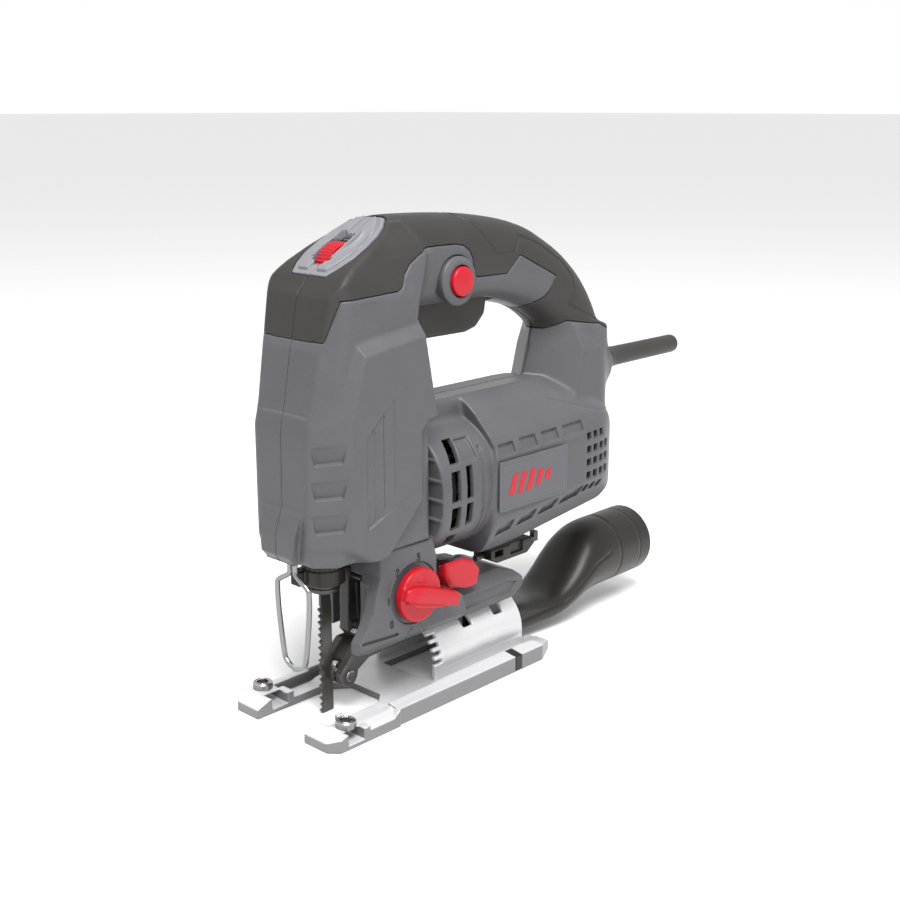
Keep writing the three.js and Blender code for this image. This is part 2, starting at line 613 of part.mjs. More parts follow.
function strainRelief() {
  const profile = [
    [0, 0], [7.6, 0], [7.6, 3], [5.6, 3.4], [5.6, 6.4], [7.4, 6.8], [6.9, 9.5], [5.6, 12], [5, 40], [4.9, 70.5], [4.1, 71.8],
    [0, 71.8],
  ];
  const geometry = new THREE.LatheGeometry(profile.map(([r, l]) => new THREE.Vector2(r, l)), 20);
  geometry.rotateZ(Math.PI / 2).translate(-152, 0, CORD_Z);
  return solid(geometry);
}

function keyClip() {
  const side = [[-57, 55.6], [-57, 50.5], [-62, 48], [-84, 48], [-90, 52], [-88, 55.6]];
  return cut(prismY(side, 2, 14), rod('x', [8, 51.8], -100, -40, 2.1, 8));
}
const hexKey = () =>
  join(rod('x', [8, 51.8], -96, -52, 1.7, 6), box([-97.5, -94.5], [6.5, 9.5], [50.2, 55.4]));

// ---------------------------------------------------------------- assembly
alloy('sole_plate', solePlate());
steel('fence_screw_left', fenceScrew(1));
steel('fence_screw_right', fenceScrew(-1));
alloy('saddle', saddle());
black('dust_tube', dustTube());

const { hard, soft } = housing();
const leftHalf = box([-250, 100], [0.15, 60], [20, 240]);
const rightHalf = box([-250, 100], [-60, -0.15], [20, 240]);
grey('housing_left', largest(hard.intersect(leftHalf)));
grey('housing_right', largest(hard.intersect(rightHalf)));
black('grip_left', largest(soft.intersect(leftHalf)));
black('grip_right', largest(soft.intersect(rightHalf)));
grey('gear_case', gearCase());
grey('dial_bezel', bezel());
black('chin_insert', chinInsert());
grey('lock_ring', lockRing());
grey('label_plate', labelPlate());
black('key_clip', keyClip());
black('strain_relief', strainRelief());
steel('wire_guard', wireGuard());
SCREWS.forEach(([x, z, y], i) => {
  const screw = join(rod('y', [x, z], -y + 0.2, -y + 2.6, 3.1, 12), rod('y', [x, z], -y + 2, -2, 1.35, 8));
  steel(`housing_screw_${i + 1}`, screw);
});

alloy('gear_frame', gearFrame());
steel('gear_post', gearPost());
brass('bush_upper', bush(151.2, 159.8));
brass('bush_lower', bush(80.3, 87));
steel('bearing_front', bearing(-9, -0.5, 11));
steel('bearing_rear', bearing(-126, -119, 9.5));
darkSteel('field_stator', fieldStator());
brass('brush_holder_left', brushHolder(1));
brass('brush_holder_right', brushHolder(-1));
black('switch_module', box([-58, -22], [-10, 4], [189.5, 204]));
black('speed_board', box([8, 30], [-9, 9], [176, 179]));
steel('bevel_bolt', bevelBolt());

steel('armature_shaft', armatureShaft());
darkSteel('armature_core', armatureCore());
copper('commutator', commutator());
black('cooling_fan', fan());
steel('drive_gear', driveGear());
steel('crank_pin', crankPin());
steel('plunger', plunger());
darkSteel('scotch_yoke', yoke());
darkSteel('blade_clamp', bladeClamp());
black('clamp_collar', clampCollar());
darkSteel('blade', blade());
darkSteel('roller_carrier', rollerCarrier());
steel('roller_pin', rollerPin());
steel('guide_roller', guideRoller());
darkSteel('rocker', rocker());

red('orbital_knob', orbitalKnob());
steel('orbital_cam', orbitalCam());
red('bevel_lever', bevelLever());
black('trigger', stateOfTrigger(0, 0));
red('lock_button', lockButton());
black('speed_dial', speedDial());
steel('hex_key', hexKey());

export default model;
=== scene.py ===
import json
import math

import bmesh
import bpy
import numpy as np
import openvdb as vdb
from mathutils import Matrix, Vector


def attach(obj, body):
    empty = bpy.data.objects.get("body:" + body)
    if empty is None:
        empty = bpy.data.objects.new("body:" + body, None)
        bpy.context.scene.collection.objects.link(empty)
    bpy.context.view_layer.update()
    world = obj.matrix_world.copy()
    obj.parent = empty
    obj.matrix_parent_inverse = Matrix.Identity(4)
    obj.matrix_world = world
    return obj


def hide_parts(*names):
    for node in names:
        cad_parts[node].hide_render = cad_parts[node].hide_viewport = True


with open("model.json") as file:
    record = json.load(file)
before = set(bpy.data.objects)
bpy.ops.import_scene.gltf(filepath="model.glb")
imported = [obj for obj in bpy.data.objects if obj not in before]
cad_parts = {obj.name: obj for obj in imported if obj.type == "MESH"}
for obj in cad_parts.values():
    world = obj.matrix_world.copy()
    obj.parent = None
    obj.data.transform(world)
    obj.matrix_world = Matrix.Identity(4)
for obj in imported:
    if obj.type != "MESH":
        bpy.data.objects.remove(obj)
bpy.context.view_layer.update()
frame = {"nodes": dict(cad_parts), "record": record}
MM = 0.001  # metres in a millimetre
BLADE_X = 37  # centre of the blade and its clamp
TILT_Z = 12  # height of the axis on which the base tilts
FENCE_SCREW = (51, 28)  # x and y, the same on both sides
MARK_X = -55.5  # marks on the rear rails of the sole
KNOB = (5, 54)  # x and z of the orbital knob
DIAL = (23.3, 196.3)  # x and z of the speed dial
LOCK = (-29, 188.6)  # x and z of the lock button
ROLLER = (30, 17.5)  # x and z of the guide roller
ROCKER_PIVOT = (22, 62)  # x and z of the rocker's pivot
MOTOR_Z = 95  # height of the motor's axis
CORD_Z = 134  # height of the cord's axis
LABEL = (-65, 94.5)  # x and z of the label's centre
CLAMP_BOLT = (-38, 0)  # x and y of the bolt that holds the base
GUARD_X = 54.5  # plane of the wire guard

camera = bpy.data.objects.new("camera", bpy.data.cameras.new("camera"))
bpy.context.scene.collection.objects.link(camera)
camera.location = (0.3910, 0.4118, 0.2630)
camera.rotation_euler = Vector((-0.7017, -0.6659, -0.2538)).to_track_quat("-Z", "Y").to_euler()
camera.data.sensor_width = 36
camera.data.lens = 52.52
camera.data.clip_start = 0.01
bpy.context.scene.camera = camera


# ---------------- distance fields
class Grid:
    """A block of points with spacing h around a box; x, y and z broadcast to its shape."""

    def __init__(self, lo, hi, h):
        self.h = h
        self.lo = np.array(lo, float) - 4 * h
        count = np.ceil((np.array(hi, float) + 4 * h - self.lo) / h).astype(int) + 1
        axes = [(self.lo[k] + h * np.arange(count[k])).astype(np.float32) for k in range(3)]
        self.x = axes[0][:, None, None]
        self.y = axes[1][None, :, None]
        self.z = axes[2][None, None, :]
        self.shape = tuple(count)

    def xz(self, points):
        return polygon(self.x, self.z, points)

    def xy(self, points):
        return polygon(self.x, self.y, points)

    def yz(self, points):
        return polygon(self.y, self.z, points)

    def tube(self, axis, centre, r):
        """An endless cylinder along an axis, at the given point of the other two."""
        u, v = {"x": (self.y, self.z), "y": (self.x, self.z), "z": (self.x, self.y)}[axis]
        return np.sqrt((u - centre[0]) ** 2 + (v - centre[1]) ** 2) - r

    def plane(self, normal, point):
        """Distance to a plane through a point, positive on the side that its normal points to."""
        n = np.array(normal, float)
        n /= np.linalg.norm(n)
        return (self.x - point[0]) * n[0] + (self.y - point[1]) * n[1] + (self.z - point[2]) * n[2]

    def full(self, value):
        return np.broadcast_to(value, self.shape).astype(np.float32)


def polygon(u, v, points):
    """Signed distance to a closed outline, negative inside."""
    shape = np.broadcast(u, v).shape
    u, v = np.broadcast_to(u, shape), np.broadcast_to(v, shape)
    best = np.full(shape, 1e9, np.float32)
    inside = np.zeros(shape, bool)
    for (ax, ay), (bx, by) in zip(points, list(points[1:]) + [points[0]]):
        ex, ey = bx - ax, by - ay
        wx, wy = u - ax, v - ay
        t = np.clip((wx * ex + wy * ey) / (ex * ex + ey * ey + 1e-9), 0, 1)
        np.minimum(best, (wx - ex * t) ** 2 + (wy - ey * t) ** 2, out=best)
        if ay != by:
            inside ^= ((ay <= v) != (by <= v)) & (u < ex * (v - ay) / ey + ax)
    return np.where(inside, -np.sqrt(best), np.sqrt(best)).astype(np.float32)


def line(u, v, points):
    """Distance to an open line of points."""
    shape = np.broadcast(u, v).shape
    best = np.full(shape, 1e9, np.float32)
    for (ax, ay), (bx, by) in zip(points, points[1:]):
        ex, ey = bx - ax, by - ay
        t = np.clip(((u - ax) * ex + (v - ay) * ey) / (ex * ex + ey * ey + 1e-9), 0, 1)
        best = np.minimum(best, (u - ax - ex * t) ** 2 + (v - ay - ey * t) ** 2)
    return np.sqrt(best).astype(np.float32)


def catmull(a, b, c, d, t):
    """The point at share t between b and c on a Catmull-Rom curve."""
    return (2 * b + (c - a) * t + (2 * a - 5 * b + 4 * c - d) * t * t + (3 * b - a - 3 * c + d) * t**3) / 2


def rounded(points, steps=4, corners=()):
    """A closed outline through the points, curved by Catmull-Rom except at the listed corners."""
    n = len(points)
    p = [np.array(q, float) for q in points]
    out = []
    for i in range(n):
        a, b, c, d = p[i - 1], p[i], p[(i + 1) % n], p[(i + 2) % n]
        if i in corners:
            a = b
        if (i + 1) % n in corners:
            d = c
        for k in range(steps):
            q = catmull(a, b, c, d, k / steps)
            out.append((float(q[0]), float(q[1])))
    return out


def smin(a, b, k):
    h = np.maximum(k - abs(a - b), 0) / k
    return np.minimum(a, b) - h * h * k / 4


def smax(a, b, k):
    h = np.maximum(k - abs(a - b), 0) / k
    return np.maximum(a, b) + h * h * k / 4


def many_max(*parts):
    total = parts[0]
    for part in parts[1:]:
        total = np.maximum(total, part)
    return total


def blur(values, cells):
    """Softens a field over the given number of grid cells, along every axis it spans."""
    reach = int(math.ceil(cells * 2.5))
    weights = np.exp(-0.5 * (np.arange(-reach, reach + 1) / cells) ** 2)
    weights /= weights.sum()
    for axis in range(values.ndim):
        if values.shape[axis] == 1:
            continue
        margin = [(reach, reach) if k == axis else (0, 0) for k in range(values.ndim)]
        padded = np.pad(values, margin, "edge")
        total = np.zeros_like(values)
        for i, w in enumerate(weights):
            span = [slice(None)] * values.ndim
            span[axis] = slice(i, i + values.shape[axis])
            total += np.float32(w) * padded[tuple(span)]
        values = total
    return values


def mesh_of(name, grid, field, detail=0.02, mirror=False):
    """A Blender mesh of the surface where the field is 0, with the field's own slope as its normals."""
    field = grid.full(field)
    for axis in range(3):
        span = [slice(None)] * 3
        for end in (0, -1):
            span[axis] = end
            field[tuple(span)] = np.maximum(field[tuple(span)], grid.h)
    band = 3 * grid.h
    volume = vdb.FloatGrid(band)
    volume.copyFromArray(np.clip(field, -band, band))
    points, triangles, quads = volume.convertToPolygons(0.0, detail)
    points = np.array(points, np.float64)
    slope = np.stack([sample(field, points, axis) for axis in range(3)], 1)
    length = np.linalg.norm(slope, axis=1, keepdims=True)
    slope = slope / np.maximum(length, 1e-9)
    places = points * grid.h + grid.lo
    faces = [tuple(f) for group in (triangles, quads) for f in np.array(group).tolist()]
    if mirror:
        places[:, 1] *= -1
        slope[:, 1] *= -1
    mesh = bpy.data.meshes.new(name)
    mesh.from_pydata((places * MM).tolist(), [], faces)
    mesh.validate()
    agree = sum(1 if Vector(slope[f.vertices[0]]).dot(f.normal) > 0 else -1 for f in mesh.polygons[:200])
    if agree < 0:
        mesh.flip_normals()
    mesh.shade_smooth()
    if len(mesh.vertices) == len(slope):
        mesh.normals_split_custom_set_from_vertices(slope.tolist())
    return link(name, mesh)


def sample(field, points, axis):
    """Central difference of the field along an axis, at points in grid cells."""
    step = np.zeros(3)
    step[axis] = 1.0
    return at(field, points + step) - at(field, points - step)


def at(field, points):
    top = np.array(field.shape) - 1.001
    q = np.clip(points, 0, top)
    base = q.astype(int)
    f = q - base
    i, j, k = base.T
    fx, fy, fz = f.T
    total = 0
    for a in (0, 1):
        for b in (0, 1):
            for c in (0, 1):
                weight = (fx if a else 1 - fx) * (fy if b else 1 - fy) * (fz if c else 1 - fz)
                total = total + weight * field[i + a, j + b, k + c]
    return total


def link(name, mesh):
    piece = bpy.data.objects.new(name, mesh)
    bpy.context.scene.collection.objects.link(piece)
    return piece


# ---------------- materials
def new_node(tree, kind, **values):
    """A new shader node. Each value goes to the input of that name, with spaces for the underscores."""
    made = tree.nodes.new("ShaderNode" + kind)
    for name, value in values.items():
        made.inputs[name.replace("_", " ")].default_value = value
    return made


def material(name, color, rough, metal=0.0, vary=0.06, grain=1400, bump=0.03, stretch=(1, 1, 1), side=1.0):
    """A surface whose colour, roughness and fine relief follow procedural noise in the object's own space,
    and whose colour carries painted shade on upright faces.

    side is painted shade: an upright face gets this share of the colour of a face that faces up, ramped by
    the height of its normal.
    """
    made = bpy.data.materials.new(name)
    made.use_nodes = True
    tree, join = made.node_tree, made.node_tree.links.new
    shader = tree.nodes["Principled BSDF"]
    shader.inputs["Metallic"].default_value = metal
    shader.inputs["Specular IOR Level"].default_value = 0.28 if metal == 0 else 0.5
    place = new_node(tree, "TexCoord")
    scale = new_node(tree, "Mapping", Scale=stretch)
    join(place.outputs["Object"], scale.inputs["Vector"])
    cloud = new_node(tree, "TexNoise", Scale=60, Detail=4)
    fine = new_node(tree, "TexNoise", Scale=grain, Detail=3)
    for noise in (cloud, fine):
        join(scale.outputs["Vector"], noise.inputs["Vector"])
    blend = new_node(tree, "Math")
    blend.operation = "ADD"
    join(cloud.outputs["Fac"], blend.inputs[0])
    join(fine.outputs["Fac"], blend.inputs[1])
    tone = new_node(tree, "ValToRGB")
    low, high = tone.color_ramp.elements
    low.position, high.position = 0.625, 1.0
    low.color = tuple(c * (1 - vary) for c in color) + (1,)
    high.color = tuple(min(c * (1 + vary), 1) for c in color) + (1,)
    part = new_node(tree, "Math")
    part.operation = "MULTIPLY"
    part.inputs[1].default_value = 0.75
    join(blend.outputs[0], part.inputs[0])
    join(part.outputs[0], tone.inputs["Fac"])
    # painted shade: upright faces get a darker base colour than faces that face up
    if side < 1:
        painted_shade_normal = new_node(tree, "SeparateXYZ")
        share = new_node(tree, "MapRange", From_Min=0.15, From_Max=0.8, To_Min=side)
        shade = new_node(tree, "VectorMath")
        shade.operation = "SCALE"
        join(place.outputs["Normal"], painted_shade_normal.inputs["Vector"])
        join(painted_shade_normal.outputs["Z"], share.inputs["Value"])
        join(tone.outputs["Color"], shade.inputs[0])
        join(share.outputs["Result"], shade.inputs["Scale"])
        join(shade.outputs["Vector"], shader.inputs["Base Color"])
    else:
        join(tone.outputs["Color"], shader.inputs["Base Color"])
    gloss = new_node(tree, "MapRange", To_Min=rough * 0.85, To_Max=min(rough * 1.2, 1))
    join(cloud.outputs["Fac"], gloss.inputs["Value"])
    join(gloss.outputs["Result"], shader.inputs["Roughness"])
    relief = new_node(tree, "Bump", Strength=bump, Distance=0.0004)
    join(fine.outputs["Fac"], relief.inputs["Height"])
    join(relief.outputs["Normal"], shader.inputs["Normal"])
    return made


EVEN = (1, 1, 1)
LOOKS = {row[0]: material(*row) for row in (
    # name, colour, roughness, metal, variation, grain, relief, stretch, painted shade (brightness of an
    # upright face beside one that faces up)
    ("grey_plastic", (0.086, 0.086, 0.094), 0.38, 0, 0.06, 1400, 0.05, EVEN, 0.78),
    ("light_grey_plastic", (0.17, 0.17, 0.185), 0.4, 0, 0.06, 1400, 0.04, EVEN, 1),
    ("soft_grip", (0.027, 0.0245, 0.0235), 0.5, 0, 0.06, 2200, 0.12, EVEN, 1),
    ("black_plastic", (0.017, 0.0155, 0.0145), 0.34, 0, 0.06, 1400, 0.05, EVEN, 1),
    ("red_plastic", (0.36, 0.006, 0.014), 0.36, 0, 0.06, 1400, 0.03, EVEN, 1),
    ("dark_label", (0.078, 0.078, 0.086), 0.36, 0, 0.06, 1400, 0.02, EVEN, 1),
    # painted shade: the alloys, bright steel and chrome wire get upright faces painted much darker than their
    # tops
    ("cast_alloy", (0.66, 0.66, 0.67), 0.34, 0.35, 0.04, 900, 0.05, (0.25, 1, 1), 0.24),
    ("pressed_alloy", (0.82, 0.82, 0.83), 0.3, 0.55, 0.04, 1200, 0.04, (0.12, 1, 1), 0.6),
    ("bright_steel", (0.6, 0.59, 0.58), 0.25, 1, 0.06, 1500, 0.03, EVEN, 0.35),
    ("dark_steel", (0.075, 0.07, 0.066), 0.4, 0.7, 0.12, 900, 0.08, EVEN, 1),
    ("blade_steel", (0.085, 0.08, 0.076), 0.36, 0.8, 0.12, 1300, 0.06, (1, 1, 0.08), 1),
    ("chrome_wire", (0.6, 0.6, 0.61), 0.2, 1, 0.03, 1500, 0.02, EVEN, 0.35),
    ("sintered_bronze", (0.4, 0.24, 0.1), 0.5, 1, 0.15, 2500, 0.15, EVEN, 1),
    ("copper", (0.7, 0.3, 0.16), 0.35, 1, 0.1, 800, 0.1, (1, 1, 4), 1),
    ("lamination_steel", (0.2, 0.2, 0.21), 0.45, 1, 0.12, 300, 0.3, (12, 0.5, 0.5), 1),
    ("cable_rubber", (0.032, 0.029, 0.027), 0.5, 0, 0.06, 1800, 0.08, EVEN, 1),
)}


def finish(piece, look, body, *nodes):
    """Gives a piece its material, its body and the CAD nodes that it stands for."""
    piece.data.materials.clear()
    piece.data.materials.append(LOOKS[look])
    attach(piece, body)
    if nodes:
        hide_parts(*nodes)
    return piece


# ---------------- body outlines
NOSE_SIDE = [
    (-2, 217), (7.1, 216.9), (13.3, 212.8), (35.8, 200.3), (40.1, 197.2), (42.2, 195.2), (47.7, 188.2),
    (51.3, 169.4), (52.2, 167.2), (56.3, 143.1), (57.4, 139.8), (58.6, 132.3), (58.9, 101.7), (58.9, 84),
    (57.5, 77), (-4, 77), (-4, 135), (2.5, 168), (2.5, 185), (-2, 200),
]
INNER_FRONT = [(-9, 70), (25.5, 70), (25.5, 186), (23.6, 194), (19.2, 206), (12, 216.4), (-9, 220)]
SHIELD = [
    (90, 70), (90, 190), (-10, 190), (-10, 133), (0.5, 132.5), (4.5, 128), (4.5, 98), (25, 77), (30, 70),
]
HANDLE = [
    (14, 214.5), (4, 217.6), (-5.6, 218.3), (-28, 217.4), (-49.6, 215.8), (-71.2, 212.5), (-86.6, 208.3),
    (-97.5, 203.2), (-108, 197.4), (-117.5, 190.6), (-126, 182.8), (-133.5, 173.6), (-139, 164.6),
    (-143.5, 155), (-149, 146), (-157, 137), (-152, 124), (-112, 124), (-113, 136), (-114.2, 145),
    (-110.5, 153), (-104, 158), (-97, 163), (-89, 167.5), (-80, 171), (-69, 173.6), (-61, 175),
    (-52, 176), (-30, 176.2), (14, 176.2),
]
POST = [
    (-100, 158), (-99, 150), (-96, 141), (-93, 134), (-88, 130), (-86, 110), (-128, 108), (-140, 114.5),
    (-152, 121), (-160, 128), (-160, 137), (-152, 144), (-145, 152), (-141, 157),
]
MOTOR_SIDE = [
    (-3, 56), (-60, 55.6), (-90, 56.5), (-118, 58.5), (-135, 62), (-147, 68), (-153.5, 77.5),
    (-155.5, 88), (-153.5, 99), (-146.5, 108.5), (-137, 115.5), (-124, 123), (-108, 131), (-92, 135.6),
    (-60, 136), (-3, 136),
]
MOTOR_PLAN = [
    (-3, -9), (-3, 34.2), (-60, 34.2), (-100, 34), (-112, 33), (-122, 30.5), (-131, 26.5), (-140, 21),
    (-148, 14), (-153.5, 7), (-155.5, 0), (-155.5, -9),
]
PANEL_SECTION = [
    (-9, 55.8), (10, 56), (20, 59.6), (27.5, 66.8), (33.9, 79.5), (34, 84), (34, 104), (33.4, 107.5),
    (27, 117.5), (19, 127.5), (10, 135.6), (-9, 136),
]
PANEL_SIDE = [
    (-37, 140), (-41.5, 112), (-40, 107), (-38.5, 96), (-38, 84), (-39.5, 70), (-45, 50), (-185, 50),
    (-185, 140),
]
GRIP = [
    (80, 169.4), (80, 230), (-190, 230), (-190, 149), (-150, 149), (-133, 157.5), (-124, 158.8),
    (-111, 161), (-104, 157), (-97, 158), (-86, 160), (-80, 164), (-85.5, 171), (-92.5, 175.5),
    (-98.3, 184.6), (-72.2, 196.4), (-63.3, 188.6), (-44, 188.8), (-41.5, 189.6), (-40.2, 192),
    (-39.4, 197.5), (-37.4, 201), (-34, 203.4), (-29.3, 204.3), (-11.2, 204.4), (-5, 203.7), (0, 202.2),
    (5, 199.5), (9.3, 195), (11.5, 190), (14, 188.6), (43.8, 187.4), (49.8, 171.1), (53, 169.6),
]
PAD_LINE = [
    (-33, 221), (-38, 217), (-46, 211), (-51, 204), (-56, 198.3), (-68, 198.3), (-74, 205.3),
    (-90, 199.4), (-106, 190.2), (-112, 183.4), (-113, 176.5), (-109, 170), (-129, 161), (-133, 160),
]


def body_field(g):
    """Outer surface of one half of the body for y above 0, and the surface of its motor part alone."""
    x, y, z = g.x, g.y, g.z
    side = blur(g.xz(NOSE_SIDE), 0.7)
    inner = smax(smax(side, g.plane((1, 1, 0.142), (58.5, 16.1, 134)), 1.0), g.yz(INNER_FRONT), 3.0)
    inner = smax(inner, (x + y - 74.6) * 0.7071, 1.0)
    region = g.xz(SHIELD)
    shield = smax(g.plane((1, 1, 0), (59, 16.5, 0)), g.plane((0.727, 0.648, 0.234), (59, 16.5, 134)), 0.35)
    shield = smax(shield, y - 30, 0.4)
    shield = smax(shield, g.plane((0.086, 0.776, 0.626), (37.1, 30, 164.8)), 0.35)
    shield = smax(shield, g.plane((0.5, 0.5, -0.75), (46, 30, 85)), 1.2)
    shield = smax(smax(shield, region, 0.8), (region + y - 28.6) * 0.7071, 0.8)
    shield = smax(shield, side, 0.8)
    nose = smin(inner, shield, 0.8)
    chin = g.xz([(48, 101.7), (58.9, 101.7), (60.2, 99.2), (63.1, 90.5), (63.2, 80.9), (60.5, 77), (48, 77)])
    chin = smax(chin, g.yz([(-9, 102), (13.4, 102), (12.6, 98), (8.8, 76), (-9, 76)]), 0.8)
    nose = smin(nose, chin, 0.6)

    outline = g.xz(rounded(HANDLE, 4, (0, 29, 16, 17)))
    depth, half = 18.6, 17.5
    t = np.clip(outline + depth, 0, None) / depth
    handle = ((t**2.3 + (abs(y) / half) ** 2.3 + 1e-6) ** (1 / 2.3) - 1) * depth
    post = smax(g.xz(rounded(POST, 4, (5, 6))), y - 22 + np.clip(z - 146, 0, 12) * 0.4, 2.0)
    post = smax(post, g.plane((-0.73, 1, 0), (-137, 19.5, 0)), 3.0)
    post = smax(post, g.plane((0.757, 0.654, 0.21), (-117, 22, 150)), 0.8)
    handle = smin(handle, post, 4.0)
    blend = 1.2 + 15 * np.clip((z - 164) / 14, 0, 1) * np.clip((214 - z) / 12, 0, 1)
    upper = smin(nose, handle, blend)

    barrel = smax(g.tube("x", (0, MOTOR_Z), 31.8), g.xz(MOTOR_SIDE), 4.0)
    panel = smax(g.yz(rounded(PANEL_SECTION, 2, tuple(range(12)))), g.xz(PANEL_SIDE), 1.2)
    ridge = smax(g.yz([(-9, 100), (11, 100), (11, 135.6), (9.6, 136.6), (-9, 136.6)]), x + 3, 1.0)
    motor = smin(smin(barrel, panel, 1.0), ridge, 3.0)
    motor = smax(motor, g.xz(rounded(MOTOR_SIDE, 3, (0, 15))), 6.0)
    motor = smax(motor, g.xy(rounded(MOTOR_PLAN, 3, (0, 1, 10, 11))), 8.0)
    motor = smax(motor, x + 3, 1.0)
    back = np.clip(-104 - x, 0, 60) / 51.8
    dome = ((back**2.1 + (abs(y) / 38) ** 2.1 + (abs(z - 96) / 43) ** 2.1 + 1e-6) ** (1 / 2.1) - 1) * 40
    motor = smax(motor, dome, 2.0)
    motor = smax(motor, g.plane((-0.066, 0.819, -0.572), (-40, 27.5, 68.4)), 1.2)
    motor = smax(motor, g.plane((-0.097, 0, -0.995), (-40, 0, 57)), 2.0)
    whole = smax(smin(upper, motor, 2.2), z - 218.2, 1.0)
    return g.full(whole), motor


def pocket(field, base, depth, region, soft=0.35):
    """Sinks the field by depth below base wherever region is negative."""
    return smax(field, -smax(region, -(base + depth), soft), soft)


def body_details(g, whole, motor, left):
    x, y, z = g.x, g.y, g.z
    field = whole
    # seams of the front panels
    front = np.maximum(abs(y) - 15.6, 50 - x)
    seam = np.maximum(abs(z - 141.5 + 0.02 * y), front)
    field = field + 0.5 * np.clip(1 - np.maximum(seam, 0) / 0.9, 0, 1)
    # louvres of the corner facet
    along = (y - x) * 0.7071
    corner = (x + y - 75.5) * 0.7071
    for top in (129.5, 114.8, 100.2):
        drop = np.clip((top - z) / 7.6, 0, 1)
        wide = abs(along + 21.2) - 7.6 + 0.25 * (top - z)
        region = np.maximum(wide, abs(z - top + 3.8 - 0.1 * (along + 21)) - 3.8)
        field = smax(field, -smax(region, -(corner + 0.35 + 1.5 * drop), 0.3), 0.3)
    # ribbed recess of the side
    recess = g.xz([(37.5, 92), (37.5, 131), (15, 152), (8, 152), (8, 104)])
    ramp = np.clip((x - 9) / 28.5, 0, 1)
    field = smax(field, -smax(recess, -(y - 30 + ramp), 0.3), 0.4)
    for centre, low, high in ((31.6, 95, 133), (26, 99, 139), (20.4, 103, 145)):
        rib = np.maximum(abs(x - centre) - 1.5, abs(z - (low + high) / 2) - (high - low) / 2)
        cut = 0.9 * np.clip((x - centre + 1.5) / 3.0, 0, 1) + ramp
        field = smax(field, -smax(rib, -(y - 30 + cut), 0.3), 0.3)
    # front ring of the motor: a gap behind the nose and two columns of curved air slots
    ring = abs(z - 93.5) - 24
    field = smax(field, -many_max(abs(x + 5.4) - 1.6, ring, 16 - y, 0.7 - abs(np.mod(z, 9.0) - 4.5)), 0.4)
    for centre, half, rows in (
        (-15.4, 2.9, ((109.3, 119), (92.5, 106.4), (79, 90), (70.6, 75.4))),
        (-24.2, 2.0, ((92.5, 107.4), (80, 90.6))),
    ):
        for low, high in rows:
            bow = 0.006 * (z - MOTOR_Z) ** 2
            slot = np.maximum(abs(x - centre + bow) - half, abs(z - (low + high) / 2) - (high - low) / 2)
            field = smax(field, -np.maximum(slot, 14 - y), 0.5)
    window = many_max(abs(x + 26.6) - 4.4, abs(z - 114) - 4.4)
    field = pocket(field, motor, 1.1, window)
    band = many_max(abs(x + 33.4 + 0.003 * (z - MOTOR_Z) ** 2) - 0.8, abs(z - 93) - 21)
    field = pocket(field, motor, 0.9, band)
    # stepped strips above and below the label, bridged by lugs
    for low, high, slope in ((108.4, 113.6, 0.02), (71.8, 77.2, 0.11)):
        for a, b in ((-54.5, -44), (-70.5, -59), (-86.5, -75), (-106, -91)):
            tall = abs(z - (low + high) / 2 + slope * (x + 65)) - (high - low) / 2
            strip = np.maximum(abs(x - (a + b) / 2) - (b - a) / 2, tall)
            field = pocket(field, motor, 1.5, strip)
    # rear air grid
    for column in range(4):
        for row in range(5):
            cx, cz = -109.5 - 5.8 * column, 79.5 + 6.6 * row
            if (column, row) in ((3, 0), (3, 4)):
                continue
            hole = many_max(abs(x - cx) - 1.9, abs(z - cz) - 1.9)
            field = smax(field, -np.maximum(hole, 10 - y), 0.4)
    # parting line around the post and the motor
    foot = line(x, z, [(-143, 112), (-118, 117.5), (-90, 126)])
    field = field + 0.35 * np.clip(1 - foot / 0.8, 0, 1) * (y > 4)
    if left:
        label = many_max(abs(x - LABEL[0]) - 25.2, abs(z - LABEL[1]) - 12.6)
        field = smax(field, -np.maximum(label, -(y - 33.0)), 0.3)
    return field


def build_body(left):
    side = "left" if left else "right"
    g = Grid((-161.5, 0, 55), (64, 34.4, 219), 0.5)
    whole, motor = body_field(g)
    x, y, z = g.x, g.y, g.z
    field = body_details(g, whole, motor, left)
    cuts = cutouts(g, left)
    region = g.xz(GRIP)
    seat = smax(region, -(whole + 2.3), 0.3)  # the layer of soft grip
    hollow = whole + 2.7
    shell = smax(field, -seat, 0.3)
    shell = np.maximum(shell, -np.maximum(np.maximum(hollow, -seat + 2.6), 2.0 - y))
    shell = smax(shell, -cuts, 0.4)
    shell = np.maximum(shell, 0.12 - y)
    hard = mesh_of("body_shell_" + side, g, shell, mirror=not left)
    finish(hard, "grey_plastic", "housing", "housing_" + side)
    pad = line(x, z, PAD_LINE)
    soft = whole + 0.75 * np.clip(1.25 - pad / 0.55, 0, 1)
    soft = smax(smax(soft, region + 0.25, 0.5), -(whole + 2.2), 0.2)
    soft = np.maximum(smax(soft, -cuts, 0.4), 0.12 - y)
    grip = mesh_of("soft_grip_" + side, g, soft, mirror=not left)
    finish(grip, "soft_grip", "housing", "grip_" + side)


# housing screws: x, z and how far the head stands from the centre plane
SCREWS = (
    (51, 118.4, 20.5), (10, 168, 26.5), (-82, 188, 15), (-128, 160, 13.5), (-112, 118, 22), (-112, 73, 24),
)
# half outline of the bezel: distance down the slope of the nose, distance to the side
BEZEL = [
    (32.6, -0.1), (32.6, 10.4), (26, 14), (19, 15.8), (10.5, 15.6), (2.5, 14.2), (-4, 11.8), (-9.5, 7.6),
    (-12.2, 3.2), (-12.6, -0.1),
]


def slope_of(g):
    """Distance down the sloping top of the nose and height above it."""
    down = (g.x - 13.3) * 0.864 - (g.z - 212.8) * 0.503
    return down, (g.x - 13.3) * 0.503 + (g.z - 212.8) * 0.864


